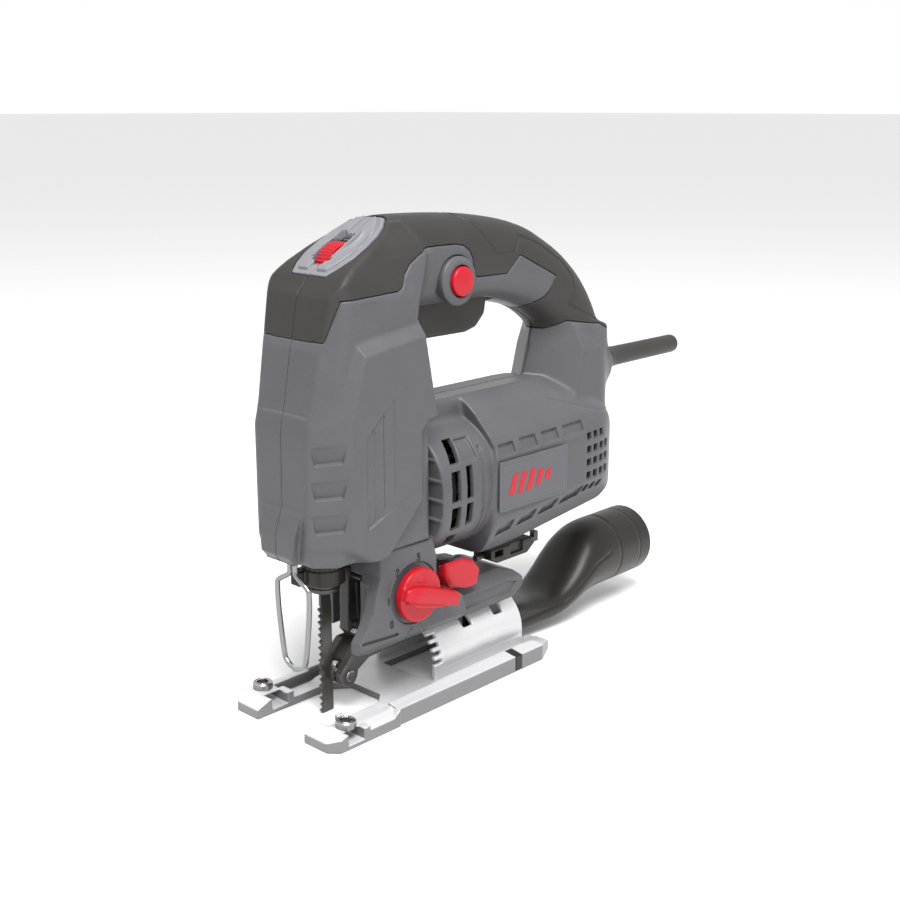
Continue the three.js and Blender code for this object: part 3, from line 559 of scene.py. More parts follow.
def cutouts(g, left):
    """Openings of the body: trigger, blade clamp, cord, dial with its bezel, lock button and screw holes."""
    x, y, z = g.x, g.y, g.z
    trigger = many_max(g.xz([(-8, 186), (-9.5, 160), (-61.5, 160), (-61.5, 188.6)]), abs(y) - 9.2)
    cuts = np.minimum(trigger, np.maximum(g.tube("z", (BLADE_X, 0), 12.4), z - 90))
    cuts = np.minimum(cuts, np.maximum(g.tube("x", (0, CORD_Z), 6.6), x + 146))
    cuts = np.minimum(cuts, np.maximum(g.tube("x", (0, CORD_Z), 8.4), abs(x + 163) - 4.9))
    cuts = np.minimum(cuts, np.maximum(g.tube("y", DIAL, 13), abs(y) - 6.2))
    down, up = slope_of(g)
    seat = np.where(x > 6, up, z - 216.8)
    cuts = np.minimum(cuts, many_max(polygon(down, y, BEZEL) - 0.15, -2.2 - seat, 190 - z))
    if left:
        cuts = np.minimum(cuts, np.maximum(g.tube("y", LOCK, 11.2), 14.8 - y))
    else:
        for sx, sz, sy in SCREWS:
            head = np.maximum(g.tube("y", (sx, sz), 3.6), sy - 2.9 - y)
            cuts = np.minimum(cuts, np.minimum(head, g.tube("y", (sx, sz), 1.7)))
    return cuts


# ---------------- sole plate, saddle and blade end
def model(name, lo, hi, h, build, look, body, *nodes, detail=0.02):
    """Meshes the field that build(grid) returns and finishes it."""
    g = Grid(lo, hi, h)
    return finish(mesh_of(name, g, build(g), detail), look, body, *nodes)


def sole(g):
    x, a, z = g.x, abs(g.y), g.z
    plan = polygon(x, a, [
        (64, -1), (64, 29.9), (59.8, 34.9), (24.8, 34.9), (24.8, 33.9), (-73, 33.9), (-85.9, 27),
        (-85.9, -1)])
    plan = np.maximum(plan, -np.minimum(
        polygon(x, a, [(70, -1), (70, 15.7), (20.6, 15.7), (13.5, 9.7), (13.5, -1)]),
        polygon(x, a, [(-11.5, -1), (-11.5, 14.5), (-100, 14.5), (-100, -1)])))
    deck = z - 3.6
    rail = smax(z - 9.0 + 0.17 * np.clip(a - 27, 0, 9), 26.6 - a, 0.8)
    rail = smax(rail, x - 24.8, 0.3)
    ramp = smax(z - 8.6, (25 - a) * 0.4 + (z - 6.5) * 0.92, 5.0)
    ramp = smax(ramp, x - 22 - 0.2 * a, 6)
    body = smin(smin(deck, ramp, 3.0), rail, 0.6)
    side = z - 8.5 + 0.42 * (a - 27)
    front = (z - 4.6) - 0.36 * (64 - x)
    block = many_max(z - 7.6, side * 0.92, front * 0.94, 23.6 - a, 24.8 - x)
    apron = many_max(z - 4.0, 24.8 - x)
    tip = many_max(z - 7.2, front * 0.94, 43 - x, 15 - a)
    body = smin(body, np.minimum(np.minimum(block, apron), tip), 0.3)
    groove = many_max(abs(x - 20) - 26, abs(a - 25) - 1.6, 1.8 + 0.0006 * (x - 46) ** 2 - z)
    body = smax(body, -groove, 0.3)
    inside = np.minimum(z - 6.6, np.minimum(a - 21.5, 31.2 - a))
    body = smax(body, -many_max(abs(x - FENCE_SCREW[0]) - 4.5, 2.2 - z, inside), 0.25)
    seat = np.maximum(abs(x - MARK_X) - 2.4, np.minimum(33.1 - a, np.maximum(7.4 - z, 26.4 - a)))
    body = smax(body, -seat, 0.2)
    body = smax(body, (-x - 73) * 0.3 + (z - 8.6), 0.4)
    hole = np.hypot(x - FENCE_SCREW[0], a - FENCE_SCREW[1]) - 2.9
    body = np.maximum(body, -np.maximum(hole, 5 - z))
    return smax(smax(body, plan, 0.2), 0.05 - z, 0.3)


def rail_mark(g):
    x, a, z = g.x, abs(g.y), g.z
    top = z - 8.9 + 0.17 * np.clip(a - 27, 0, 9)
    body = many_max(abs(x - MARK_X) - 2.3, np.minimum(33.15 - a, 7.45 - z), a - 33.85, top)
    return np.maximum(smax(body, 26.5 - a, 0.2), 0.6 - z)


def fence_screw(g):
    u, v, z = g.x - FENCE_SCREW[0], abs(g.y) - FENCE_SCREW[1], g.z
    r = np.hypot(u, v)
    head = smax(smax(r - 4.6, z - 10.6, 0.7), 7.2 - z, 0.4)
    head = smax(head, (r - 4.3) * 0.7 + (z - 10.3) * 0.7, 0.3)
    socket = hexagon(u, v, 2.5)
    head = smax(head, -np.maximum(socket, 7.9 - z), 0.25)
    head = smax(head, -np.maximum(abs(r - 3.5) - 0.3, 10.1 - z), 0.25)
    return np.minimum(head, many_max(r - 2.6, z - 8, 7.1 - z))


def hexagon(u, v, flat):
    return many_max(abs(u), abs(u * 0.5 + v * 0.866), abs(u * 0.5 - v * 0.866)) - flat


def saddle(g):
    x, a, z = g.x, abs(g.y), g.z
    barrel = np.where(z > TILT_Z, np.hypot(g.y, z - TILT_Z), a)
    shell = smax(abs(barrel - 18.85) - 1.1, 4.3 - z, 0.3)
    lip = smax(abs(a - 18.9) - 1.1, abs(z - 8) - 0.9, 0.6)
    shell = smin(shell, lip, 0.8)
    angle = np.degrees(np.arctan2(a, z - TILT_Z))
    for x0 in (-38, -60):
        slot = smax(abs(x - x0) - 3.2, (angle - 55) * 0.34, 1.2)
        shell = smax(shell, -smax(slot, -z + 14, 1.0), 0.3)
    for turn in (50, 62, 74, 86):
        notch = np.maximum(abs(angle - turn) * 0.34 - 1.0, -16.8 - x)
        shell = smax(shell, -np.maximum(notch, 14 - barrel), 0.3)
    return smax(smax(shell, x + 12.1, 0.3), -73.9 - x, 0.3)


def blade(g):
    x, z = g.x, g.z
    saw = np.mod(z + 0.6, 3.0)
    row = np.floor((z + 0.6) / 3.0)
    edge = 39.3 + 1.7 * np.clip(saw / 2.5, 0, 1) - 3.4 * np.clip(saw - 2.5, 0, 1)
    edge = np.where(z < 51.5, edge, 39.9)
    back = 33.5 + 0.1 * np.clip(z - 50, 0, 10)
    lean = 0.28 * np.where(np.mod(row, 2) > 0.5, 1, -1) * np.clip((x - 39) / 2, 0, 1) * (z < 51.5)
    web = abs(g.y - lean) - 0.6 + 0.12 * np.clip((38.6 - x) / 5, 0, 1)
    return many_max(x - edge, back - x, web, 0.4 - z, z - 72)


def blade_clamp(g):
    r = np.hypot(g.x - BLADE_X, g.y)
    z = g.z
    field = smax(smax(r - 6.95, z - 75.8, 0.8), 58.1 - z, 1.0)
    field = np.maximum(field, -np.maximum(abs(z - 60.6) - 0.35, 6.4 - r))
    return smax(field, -many_max(abs(g.x - BLADE_X) - 4.2, abs(g.y) - 0.95, z - 74), 0.3)


def clamp_collar(g):
    r = np.hypot(g.x - BLADE_X, g.y)
    z = g.z
    ribs = 0.25 * np.clip(np.cos(24 * np.arctan2(g.y, g.x - BLADE_X)) * 2, -1, 1) * (z > 69.6)
    ring = smax(smax(r - 9.5 - ribs, z - 72.9, 0.8), 62.1 - z, 0.8)
    step = np.maximum(abs(z - 69.4) - 0.3, 9.0 - r)
    tab = many_max(43 - g.x, smax(smax(g.x - 49.9, abs(g.y + 4.25) - 3.2, 1.0), abs(z - 65.5) - 3.4, 0.8))
    return np.maximum(smin(np.maximum(ring, -step), tab, 1.0), 7.35 - r)


def carrier(g):
    side = g.xz([
        (34, 14.5), (35, 19), (31, 24), (24, 30.6), (-4, 30.6), (-4, 23.6), (18, 22.5), (25, 18.5),
        (27, 13.5), (31, 12.6)])
    side = smin(blur(side, 1.4), g.tube("y", ROLLER, 4.9), 1.0)
    field = smax(side, abs(g.y) - 7.9, 0.8)
    field = np.maximum(field, -np.maximum(abs(g.y) - 3.7, 12 - g.x))
    field = smax(field, -many_max(g.xz([(20, 24.6), (2, 25.4), (2, 28.6), (18, 28.6)]), 7.2 - abs(g.y)), 0.3)
    return np.maximum(field, -g.tube("y", ROLLER, 1.85))


def roller_pin(g):
    r = g.tube("y", ROLLER, 0)
    y = abs(g.y)
    head = smax(smax(r - 2.6, y - 8.75, 0.4), 8.05 - y, 0.1)
    return np.minimum(np.maximum(r - 1.6, y - 8.6), head)


def roller(g):
    r = g.tube("y", ROLLER, 0)
    y = abs(g.y)
    field = smax(r - 5.15, y - 3.15, 0.6)
    return many_max(field, 3.2 - r + np.clip(y - 1.0, 0, 2) * 3, 1.85 - r)


def rocker(g):
    side = g.xz([(19, 66), (25, 66), (25.5, 56), (26, 36), (23.5, 33), (19.5, 33), (18, 44), (18, 60)])
    field = smax(blur(side, 1.0), abs(g.y) - 2.95, 0.5)
    field = smax(field, -many_max(g.xz([(20.5, 58), (23.5, 58), (23.8, 40), (20, 40)]), 2.2 - abs(g.y)), 0.3)
    return np.minimum(field, smax(g.tube("y", ROCKER_PIVOT, 2.0), abs(g.y) - 9.4, 0.4))


def rocker_pin(g):
    return smax(g.tube("y", (23.6, 36), 1.5), abs(g.y) - 4.6, 0.5)


# ---------------- gear case and controls
CASE_SIDE = [
    (25.2, 77.4), (25.4, 66), (28.2, 58), (30, 50.6), (33.6, 44.4), (38, 38.4), (38, 33.4), (29, 31),
    (-30, 31), (-28.4, 36), (-26.6, 44.6), (-17.6, 50), (-11.6, 60), (-6.8, 76.6),
]
FOOT_SIDE = [(-10, 31), (-10, 46.4), (-62, 46.4), (-70, 43.6), (-74, 39.6), (-74, 35.6), (-67, 31)]
# each numeral beside the knob: where it stands (x, z) and its line of points
STROKES = {
    "0": ((19.2, 43.2), [
        (-0.9, 1.2), (-0.5, 2), (0.5, 2), (0.9, 1.2), (0.9, -1.2), (0.5, -2), (-0.5, -2), (-0.9, -1.2),
        (-0.9, 1.2)]),
    "1": ((20.9, 54.2), [(0.7, 1.2), (-0.1, 2), (-0.1, -2)]),
    "2": ((15.5, 66.2), [(1.0, 1.2), (0.5, 2), (-0.5, 2), (-1, 1.2), (-0.9, 0.5), (1.0, -2), (-1.0, -2)]),
    "3": ((2.6, 70.3), [
        (1, 1.4), (0.5, 2), (-0.5, 2), (-0.9, 1.2), (-0.4, 0.2), (0.2, 0.1), (-0.4, 0), (-1, -1.1),
        (-0.5, -2), (0.5, -2), (1, -1.4)]),
}
STROKE_SCALE = 0.75


def gear_case(g):
    x, y, z = g.x, g.y, g.z
    a = abs(y)
    section = polygon(a, z, [(-5, 31), (19.6, 31), (23.9, 35.4), (23.9, 80), (-5, 80)])
    case = smax(smax(g.xz(CASE_SIDE), section, 0.8), z - 77.5, 0.4)
    foot_section = polygon(a, z, [(-5, 31), (19.9, 31), (19.9, 41.6), (13.5, 46.6), (-5, 46.6)])
    foot = smax(g.xz(FOOT_SIDE), foot_section, 0.8)
    panel = g.xz([(-33, 34.4), (-33, 39.6), (-62, 40.4), (-69.6, 38.4), (-66, 34.4)])
    foot = smax(foot, -smax(panel, 18.9 - a, 0.3), 0.3)
    top_panel = g.xy([(-36, -11), (-36, 11), (-64, 11), (-69, 7), (-69, -7), (-64, -11)])
    foot = smax(foot, -smax(top_panel, 45.9 - z, 0.3), 0.3)
    field = smin(case, foot, 0.8)
    # groove that sets off a lip along the rear edge
    rim = g.xz(CASE_SIDE)
    groove = many_max(-rim - 2.6, rim + 4.0, x - 0.0045 * (z - 40) ** 2 + 5, 23.2 - a)
    field = smax(field, -groove, 0.3)
    # front window between the two cheeks
    window = many_max(g.xz([(14, 61), (40, 61), (40, 30), (12, 30), (12, 52)]), a - 17.5)
    field = smax(field, -window, 0.8)
    field = smax(field, -many_max(23.8 - x, a - 13), 0.5)
    # long slot low on the side and a seam line that meets it
    slot = line(x, z, [(36, 38.6), (15.5, 37.2)])
    field = smax(field, -np.maximum(slot - 0.75, 22.4 - a), 0.3)
    field = field + 0.5 * np.clip(1 - line(x, z, [(10, 36), (4, 40.5), (-3, 33)]) / 0.7, 0, 1) * (a > 20)
    # open right side in front of the knob's shaft
    field = smax(field, -many_max(17 - x, y + 10.5, z - 63), 0.3)
    # recess around the knob, with a thin raised ring in front
    knob = g.tube("y", KNOB, 0)
    field = smax(field, -many_max(knob - 14.2, 23.1 - y), 0.3)
    ring = many_max(abs(knob - 14.9) - 0.45, y - 24.0, 23 - y, 3 - x)
    field = smin(field, ring, 0.3)
    field = smax(field, -np.maximum(knob - 4.3, -12 - y), 0.2)
    # room for the bevel lever, the saddle, the clamp bolt, the roller carrier, the rocker and its drive
    field = smax(field, -np.maximum(abs(x + 21.5) - 12.4, 46.7 - z), 0.3)
    field = np.maximum(field, -g.tube("x", (0, TILT_Z), 20.5) - 200 * (x > -10.8))
    field = np.maximum(field, -np.maximum(g.tube("z", CLAMP_BOLT, 3.3), z - 60))
    field = np.maximum(field, -np.maximum(a - 9.5, z - 31.6) - 200 * (x < -6))
    field = np.maximum(field, -np.maximum(g.tube("y", ROCKER_PIVOT, 2.3), a - 10))
    field = np.maximum(field, -np.maximum(g.xz([(10, 74), (10, 66), (22, 66), (22, 74)]), a - 12))
    return np.maximum(field, 31.05 - z)


def knob(g):
    x, y, z = g.x - KNOB[0], g.y, g.z - KNOB[1]
    r = np.hypot(x, z)
    along, up = -0.956 * x - 0.292 * z, -0.292 * x + 0.956 * z
    disc = smax(smax(r - 12.4, y - 28.4, 1.4), 24.5 - y, 0.4)
    dish = np.sqrt(((along + 1.5) / 1.6) ** 2 + (up - 8.6) ** 2 + ((y - 30.6) * 1.6) ** 2) - 4.2
    disc = smax(disc, -dish, 0.8)
    half = np.interp(along, [-12.5, -8, 0, 10, 22], [2.2, 4.3, 4.8, 4.0, 3.1]).astype(np.float32)
    crown = 33.0 - 0.03 * np.clip(along + 2, 0, 30) - 0.25 * np.clip(up - 1, 0, 9)
    crown = crown - 0.05 * np.clip(-along - 6, 0, 9) ** 2
    bar = smax(abs(up + 0.2) - half, smax(along - 21.6, -12.2 - along, 0.5), 1.2)
    bar = smax(bar, (y - crown) * 0.9, 0.9)
    bar = smax(bar, np.where(r < 12.4, 25.0, 28.1) - y, 0.4)
    field = smin(disc, bar, 1.0)
    field = field + 0.5 * np.clip(1 - abs(up + 3.1 + 0.02 * along) / 0.5, 0, 1) * (y > 29.6)
    oval = abs(np.sqrt(((along + 1.5) / 2.0) ** 2 + (up - 7.6) ** 2) - 1.6)
    field = field - 0.35 * np.clip(1 - oval / 0.55, 0, 1) * (y > 26)
    return np.maximum(field, -np.maximum(r - 3.4, y - 29.5))


def lever(g):
    x, y, z = g.x, g.y, g.z
    outline = g.xz([
        (-13.2, 63.6), (-23.6, 64), (-32.4, 60), (-36.8, 55), (-34.4, 47.4), (-28, 47.3), (-17, 50.6),
        (-13.6, 56)])
    face = smax(outline, smax(y - 26, 20.6 - y, 0.6), 0.8)
    face = smax(face, (outline + y - 24.6) * 0.7071, 0.6)
    plan = g.xy([(-43.8, -5), (-35, -6.8), (-22, 8), (-16.2, 21), (-33, 21), (-43.8, 5)])
    arm = smax(plan, abs(z - 48.8) - 1.5, 0.6)
    field = smin(face, arm, 1.2)
    field = np.maximum(field, -g.tube("z", CLAMP_BOLT, 3.3))
    limit = polygon(y, z, [(-40, 200), (-40, 55.3), (10, 55.3), (26.2, 63.8), (34.8, 79), (40, 200)])
    return smax(field, -limit - 200 * (x > -3), 0.3)


def trigger(g):
    side = g.xz([
        (-9.3, 181), (-11.6, 166.5), (-16, 162.9), (-45, 162.7), (-52, 164.4), (-57.8, 170), (-59.8, 181)])
    field = smax(blur(side, 2.2), abs(g.y) - 8.4, 2.0)
    rib = abs(np.mod(g.x, 3.0) - 1.5)
    ribbed = (g.z < 168) * (abs(g.y) < 6) * (g.x > -50) * (g.x < -18)
    return field + 0.25 * np.clip(1 - rib / 0.5, 0, 1) * ribbed


def lock_ring(g):
    r = g.tube("y", LOCK, 0)
    ring = smax(smax(r - 10.9, g.y - 20.3, 0.5), 15.0 - g.y, 0.3)
    ring = smax(ring, (r - 8.6) * 0.5 + (g.y - 20.2) * 0.87, 0.5)
    return np.maximum(ring, 7.15 - r)


def lock_button(g):
    r = g.tube("y", LOCK, 0)
    return smax(smax(r - 6.6, g.y - 22.5 + 0.012 * r**2, 1.2), 12.1 - g.y, 0.5)


def bezel(g):
    x, y, z = g.x, abs(g.y), g.z
    down, up = slope_of(g)
    rise = np.where(x > 6.8, up, z - 216.9)
    outer = polygon(down, y, BEZEL)
    field = smax(outer + 0.2, rise - 0.15, 0.5)
    inner = smax(outer + 2.9, (outer + 2.9) * 0.5 + (rise - 0.9) * 0.86, 0.4)
    field = smin(field, smax(inner, rise - 1.3, 0.6), 0.3)
    bar = np.maximum(outer + 5.2, rise - 1.3)
    field = smin(field, bar, 0.3)
    field = field + 0.45 * np.clip(1 - abs(outer + 2.5) / 0.45, 0, 1)
    scoop = np.sqrt(((down - 9) / 2.4) ** 2 + (y - 9.4) ** 2 + (rise - 3.4) ** 2) - 4.0
    field = smax(field, -scoop, 1.2)
    pit = np.maximum(y - 5.3, polygon(down, rise, [(0.6, 5), (8, -9), (25, -9), (23.4, 5)]))
    field = smax(field, -pit, 0.3)
    wall = many_max(abs(y - 5.9) - 0.6, abs(down - 13) - 9.5, rise - 2.1)
    field = smin(field, wall, 0.4)
    field = np.maximum(field, -g.tube("y", DIAL, 12.6) - 200 * (y > 5.2))
    field = field + 0.3 * np.clip(1 - y / 0.35, 0, 1)
    return np.maximum(np.maximum(field, -2.0 - rise), z - 218.38)


def speed_dial(g):
    r = g.tube("y", DIAL, 0)
    turn = np.arctan2(g.z - DIAL[1], g.x - DIAL[0])
    tread = 0.22 * np.clip(2 * np.cos(46 * turn), -1, 1)
    return smax(smax(r - 11.75 - tread, abs(g.y) - 4.0, 0.7), -np.maximum(r - 9, 3.3 - abs(g.y)), 0.3)


def label(g):
    u, v = abs(g.x - LABEL[0]), abs(g.z - LABEL[1])
    plate = smax(smax(u - 24.5, v - 12.0, 1.2), abs(g.y - 33.45) - 0.33, 0.15)
    rim = abs(np.maximum(u - 22.9, v - 10.4))
    return plate + 0.22 * np.clip(1 - rim / 0.4, 0, 1)


def label_mark(g):
    """A plain generic mark: slanted bars that shorten towards the rear."""
    field = None
    for i, length in enumerate((5.04, 5.04, 5.04, 3.78, 2.52)):
        u = g.x + 50 + 6.2 * i + 0.35 * (g.z - LABEL[1])
        bar = np.maximum(abs(u) - 1.9, abs(g.z - LABEL[1]) - length)
        field = bar if field is None else np.minimum(field, bar)
    return many_max(smax(field, g.y - 33.98, 0.1), 33.6 - g.y)


def screw_field(sx, sz, sy):
    def build(g):
        r, y = g.tube("y", (sx, sz), 0), -g.y
        head = smax(smax(r - 3.0, y - sy + 0.25 + 0.03 * r**2, 0.4), sy - 2.55 - y, 0.3)
        u, v = abs(g.x - sx), abs(g.z - sz)
        cross = np.minimum(np.maximum(u - 0.45, v - 1.8), np.maximum(v - 0.45, u - 1.8))
        head = smax(head, -np.maximum(cross, sy - 1.5 - y), 0.15)
        return np.minimum(head, many_max(r - 1.3, y - sy + 2, sy - 6 - y))

    return build


# ---------------- dust tube, wires and cord sleeve
TUBE = (
    # x, top, bottom, half width, squareness
    (-185, 47.1, 10.3, 18.4, 2.0), (-152, 47.1, 10.3, 18.4, 2.0), (-145, 46.3, 10.2, 18.4, 2.0),
    (-137, 42.6, 9.8, 18.2, 2.0), (-130, 36.0, 8.8, 17.9, 2.1), (-124, 29.5, 7.4, 17.4, 2.2),
    (-118, 24.0, 6.2, 16.8, 2.4), (-112, 20.0, 5.3, 16.0, 2.6), (-106, 18.2, 5.0, 15.2, 2.9),
    (-100, 18.0, 5.0, 14.4, 3.3), (-92, 19.0, 5.0, 13.4, 4.0), (-84, 19.9, 5.0, 12.6, 5.0),
    (-74, 19.9, 5.0, 12.0, 6.0), (-64, 19.9, 5.0, 11.9, 6.0),
)


def tube_field(g, wall):
    knots = np.array(TUBE)
    values = [np.interp(g.x, knots[:, 0], knots[:, k]) for k in range(1, 5)]
    top, bottom, half, square = [blur(v.astype(np.float32), 4) for v in values]
    middle, high = (top + bottom) / 2, (top - bottom) / 2 - wall
    half = half - wall
    u, v = abs(g.y) / half, abs(g.z - middle) / high
    return ((u**square + v**square + 1e-6) ** (1 / square) - 1) * np.minimum(half, high)


def dust_tube(g):
    x, z = g.x, g.z
    outer = tube_field(g, 0.0) * 0.9
    crease = z - np.interp(x, [-150, -137, -124, -112, -92, -74], [33, 29, 20, 14, 12, 11]).astype(np.float32)
    outer = outer + 0.5 * np.clip(1 - abs(crease) / 0.9, 0, 1) * (abs(x + 112) < 38)
    for ring in (-158, -175.2):
        outer = outer + 0.5 * np.clip(1 - abs(x - ring) / 0.5, 0, 1)
    outer = smax(outer, -184.9 - x, 0.8)
    inner = np.where(x < -157, g.tube("x", (0, 28.7), 15.9), tube_field(g, 2.4))
    return np.maximum(smax(outer, -inner, 0.4), x + 64.1)


def skin(name, points, sides):
    """A closed tube over rings of points, one ring after the other."""
    last = len(points) - sides
    faces = []
    for i in range(0, last, sides):
        for k in range(sides):
            m = (k + 1) % sides
            faces.append((i + k, i + m, i + sides + m, i + sides + k))
    faces.append(tuple(reversed(range(sides))))
    faces.append(tuple(range(last, last + sides)))
    mesh = bpy.data.meshes.new(name)
    mesh.from_pydata([tuple(c * MM for c in p) for p in points], [], faces)
    piece = link(name, mesh)
    bm = bmesh.new()
    bm.from_mesh(mesh)
    bmesh.ops.recalc_face_normals(bm, faces=bm.faces)
    bm.to_mesh(mesh)
    bm.free()
    mesh.shade_smooth()
    mesh.set_sharp_from_angle(angle=math.radians(35))
    return piece


def sweep(name, points, radius, sides, steps):
    """A round bar along a curve that lies in a plane of constant x."""
    path = []
    n = len(points)
    for i in range(n - 1):
        a, b, c, d = (np.array(points[max(0, min(n - 1, i + k))], float) for k in (-1, 0, 1, 2))
        path.extend(catmull(a, b, c, d, k / steps) for k in range(steps))
    path.append(np.array(points[-1], float))
    rings = []
    for i, p in enumerate(path):
        ahead = path[min(i + 1, len(path) - 1)] - path[max(i - 1, 0)]
        ahead /= np.linalg.norm(ahead)
        across = np.cross(ahead, (1, 0, 0))
        for k in range(sides):
            angle = 2 * math.pi * k / sides
            rings.append(p + radius * (math.cos(angle) * across + math.sin(angle) * np.array([1, 0, 0])))
    return skin(name, rings, sides)


def lathe(name, profile, x0, centre, sides=48):
    """Turns (radius, distance towards the rear) around an axis along x."""
    rings = []
    for r, d in profile:
        for k in range(sides):
            angle = 2 * math.pi * k / sides
            rings.append((x0 - d, centre[0] + r * math.cos(angle), centre[1] + r * math.sin(angle)))
    return skin(name, rings, sides)


def strokes(name, y):
    """The four positions of the orbital knob as thin raised numerals."""
    bm = bmesh.new()
    for (cx, cz), full_size in STROKES.values():
        path = [(STROKE_SCALE * u, STROKE_SCALE * v) for u, v in full_size]
        for (ax, az), (bx, bz) in zip(path, path[1:]):
            length = math.hypot(bx - ax, bz - az)
            size = Matrix.Diagonal((length + 0.36, 0.35, 0.36, 1))
            turn = Matrix.Rotation(-math.atan2(bz - az, bx - ax), 4, "Y")
            place = Matrix.Translation((cx + (ax + bx) / 2, y, cz + (az + bz) / 2))
            bmesh.ops.create_cube(bm, size=1, matrix=Matrix.Scale(MM, 4) @ place @ turn @ size)
    mesh = bpy.data.meshes.new(name)
    bm.to_mesh(mesh)
    bm.free()
    return link(name, mesh)


def key_clip(g):
    x, z = g.x, g.z
    side = g.xz([(-57.2, 55.5), (-57.2, 50.6), (-62, 48.1), (-84, 48.1), (-89.8, 52), (-88, 55.5)])
    field = smax(side, abs(g.y - 8) - 5.9, 0.6)
    field = smax(field, -g.xz([(-60, 54.4), (-60, 51.4), (-66, 51.4), (-66, 54.4)]), 0.4)
    field = smax(field, -many_max(abs(x + 76) - 4.5, 50.4 - z, 12.6 - g.y), 0.3)
    return np.maximum(field, -g.tube("x", (8, 51.8), 2.1))


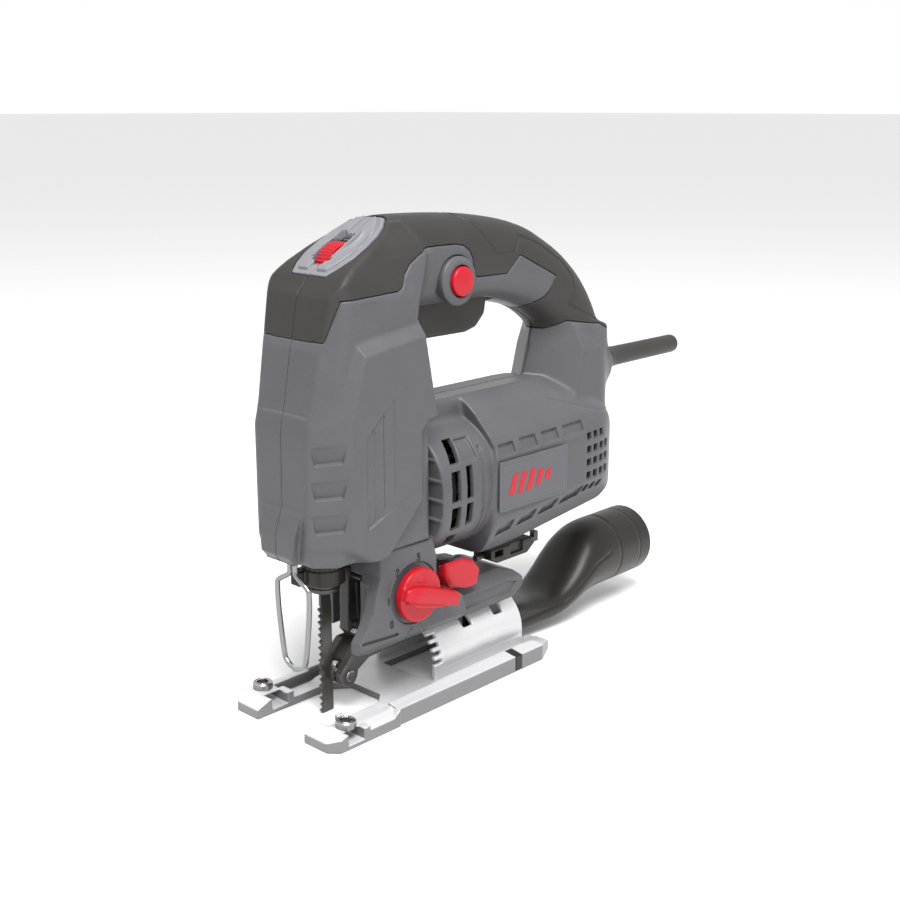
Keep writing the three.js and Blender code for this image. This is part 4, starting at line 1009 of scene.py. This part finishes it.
# ---------------- making
def build_pieces():
    fine = 0.35
    sx, sy = FENCE_SCREW
    # name, lowest corner, highest corner, spacing, field, look, body, CAD nodes that the piece replaces
    for row in (
        ("sole_plate_cast", (-86, -35, 0), (64, 35, 9), fine, sole, "cast_alloy", "base", "sole_plate"),
        ("rail_marks", (-58, -34, 0), (-53, 34, 9), 0.3, rail_mark, "black_plastic", "base"),
        ("fence_screw_head_left", (sx - 5, sy - 5, 7), (sx + 5, sy + 5, 10.8), 0.16, fence_screw,
         "bright_steel", "base", "fence_screw_left"),
        ("fence_screw_head_right", (sx - 5, -sy - 5, 7), (sx + 5, -sy + 5, 10.8), 0.16, fence_screw,
         "bright_steel", "base", "fence_screw_right"),
        ("saddle_shell", (-74, -20, 4.3), (-12, 20, 32), fine, saddle, "pressed_alloy", "base", "saddle"),
        ("saw_blade", (33, -1.2, 0.4), (41.4, 1.2, 72), 0.16, blade, "blade_steel", "plunger", "blade"),
        ("clamp_barrel", (29.8, -7.2, 58), (44.2, 7.2, 76), 0.25, blade_clamp,
         "dark_steel", "plunger", "blade_clamp"),
        ("clamp_ring", (27, -10, 62), (50, 10, 73), 0.25, clamp_collar,
         "black_plastic", "clamp_collar", "clamp_collar"),
        ("carrier_arm", (-4, -8, 12), (35, 8, 31), 0.25, carrier,
         "dark_steel", "roller_carrier", "roller_carrier"),
        ("carrier_pin", (27, -9, 14.5), (33, 9, 20.5), 0.16, roller_pin,
         "bright_steel", "roller_carrier", "roller_pin"),
        ("grooved_roller", (24.6, -3.3, 12), (35.4, 3.3, 23), 0.16, roller,
         "bright_steel", "guide_roller", "guide_roller"),
        ("rocker_link", (17.5, -9.5, 32.5), (26.5, 9.5, 66.5), 0.25, rocker,
         "black_plastic", "rocker", "rocker"),
        ("rocker_pin", (21.8, -4.8, 34.2), (25.4, 4.8, 37.8), 0.16, rocker_pin, "bright_steel", "rocker"),
        ("gear_case_cover", (-74, -24, 31), (38, 24, 78), fine, gear_case,
         "grey_plastic", "housing", "gear_case"),
        ("orbital_grip", (-17.5, 24.4, 41), (18, 33.3, 67), 0.25, knob,
         "red_plastic", "orbital_knob", "orbital_knob"),
        ("lever_paddle", (-44, -7, 47), (-13, 26, 64.2), 0.3, lever,
         "red_plastic", "bevel_lever", "bevel_lever"),
        ("trigger_blade", (-60, -8.5, 162), (-9, 8.5, 181), 0.35, trigger,
         "black_plastic", "trigger", "trigger"),
        ("lock_collar", (-40, 14.9, 177), (-18, 20.6, 200), 0.25, lock_ring,
         "grey_plastic", "housing", "lock_ring"),
        ("lock_cap", (-36, 12, 181.6), (-22, 22.8, 195.6), 0.25, lock_button,
         "red_plastic", "lock_button", "lock_button"),
        ("bezel_cover", (-2, -16, 188), (45, 16, 218.4), 0.3, bezel,
         "light_grey_plastic", "housing", "dial_bezel"),
        ("dial_wheel", (10.8, -4.4, 183.9), (35.8, 4.4, 208.7), 0.25, speed_dial,
         "red_plastic", "speed_dial", "speed_dial"),
        ("label_panel", (-90, 33, 82), (-40, 33.9, 107), 0.2, label, "dark_label", "housing", "label_plate"),
        ("label_bars", (-82, 33.4, 88), (-44, 34, 101), 0.2, label_mark, "red_plastic", "housing"),
        ("dust_pipe", (-185, -18.6, 4.8), (-64, 18.6, 47.3), 0.5, dust_tube,
         "black_plastic", "dust_tube", "dust_tube"),
        ("key_holder", (-90, 2, 48), (-57, 14, 55.6), 0.25, key_clip, "black_plastic", "housing", "key_clip"),
    ):
        model(*row)
    for i, (sx, sz, sy) in enumerate(SCREWS, 1):
        lo, hi = (sx - 3.2, -sy - 0.1, sz - 3.2), (sx + 3.2, -sy + 6.2, sz + 3.2)
        build = screw_field(sx, sz, sy)
        model(f"case_screw_{i}", lo, hi, 0.16, build, "dark_steel", "housing", f"housing_screw_{i}")
    wire = [(GUARD_X, y, z) for y, z in (
        (-1.7, 79), (-1.7, 75), (-1.8, 71), (-3.4, 69), (-9.4, 65.4), (-10.4, 62.5), (-10.0, 52),
        (-7.4, 33),
        (-5.2, 28.4), (0, 26.6))]
    wire = wire + [(x, -y, z) for x, y, z in reversed(wire[:-1])]
    finish(sweep("guard_wire", wire, 1.2, 16, 8), "chrome_wire", "housing", "wire_guard")
    sleeve = [
        (0.1, 0), (7.4, 0.1), (7.6, 0.5), (7.6, 2.6), (7.2, 3), (5.6, 3.3), (5.5, 6.5), (7.2, 6.9),
        (7.3, 7.8), (6.8, 9.6), (5.9, 11.2), (5.4, 13.5), (5.15, 18), (5.05, 40), (4.95, 69.6),
        (4.7, 70.9), (4.1, 71.7), (0.1, 71.8)]
    finish(lathe("cord_sleeve", sleeve, -152, (0, CORD_Z)), "cable_rubber", "housing", "strain_relief")
    finish(strokes("orbit_numerals", 24.0), "black_plastic", "housing")


def keep_nodes():
    """CAD nodes that no piece replaces stay, with a rounded edge and the material of their slot."""
    slots = {part["node"]: part["material_slot"] for part in frame["record"]["subparts"]}
    for name, node in frame["nodes"].items():
        if node.hide_render:
            continue
        node.data.materials.clear()
        node.data.materials.append(LOOKS[slots[name]])
        edge = node.modifiers.new("edge", "BEVEL")
        edge.width = 0.15 * MM
        edge.segments = 2
        edge.limit_method = "ANGLE"
        edge.angle_limit = math.radians(35)


def light(name, place, size, energy, target=(-0.04, 0, 0.1)):
    lamp = bpy.data.objects.new(name, bpy.data.lights.new(name, "AREA"))
    lamp.data.energy = energy
    lamp.data.size = size
    lamp.location = place
    lamp.rotation_euler = (Vector(target) - Vector(place)).to_track_quat("-Z", "Y").to_euler()
    bpy.context.scene.collection.objects.link(lamp)


def build_stage():
    floor = bpy.data.objects.new("floor", bpy.data.meshes.new("floor"))
    bm = bmesh.new()
    bmesh.ops.create_grid(bm, x_segments=2, y_segments=2, size=40)
    bm.to_mesh(floor.data)
    bm.free()
    bpy.context.scene.collection.objects.link(floor)
    floor.data.materials.append(material("floor", (0.95, 0.95, 0.95), 0.9, vary=0.01, grain=300, bump=0.0))
    world = bpy.data.worlds.new("studio")
    bpy.context.scene.world = world
    world.use_nodes = True
    tree, join = world.node_tree, world.node_tree.links.new
    sky = tree.nodes["Background"]
    sky.inputs["Color"].default_value = (1, 1, 1, 1)
    place = new_node(tree, "TexCoord")
    parts = new_node(tree, "SeparateXYZ")
    height = new_node(tree, "MapRange", From_Min=0.1, From_Max=0.35, To_Min=1.0, To_Max=0.85)
    join(place.outputs["Generated"], parts.inputs["Vector"])
    join(parts.outputs["Z"], height.inputs["Value"])
    join(height.outputs["Result"], sky.inputs["Strength"])
    light("key", (0.35, 0.5, 1.15), 0.6, 24)
    light("fill", (0.3, 1.1, 0.5), 0.8, 1.5)
    bpy.context.scene.view_settings.view_transform = "Standard"


build_body(True)
build_body(False)
build_pieces()
keep_nodes()
build_stage()
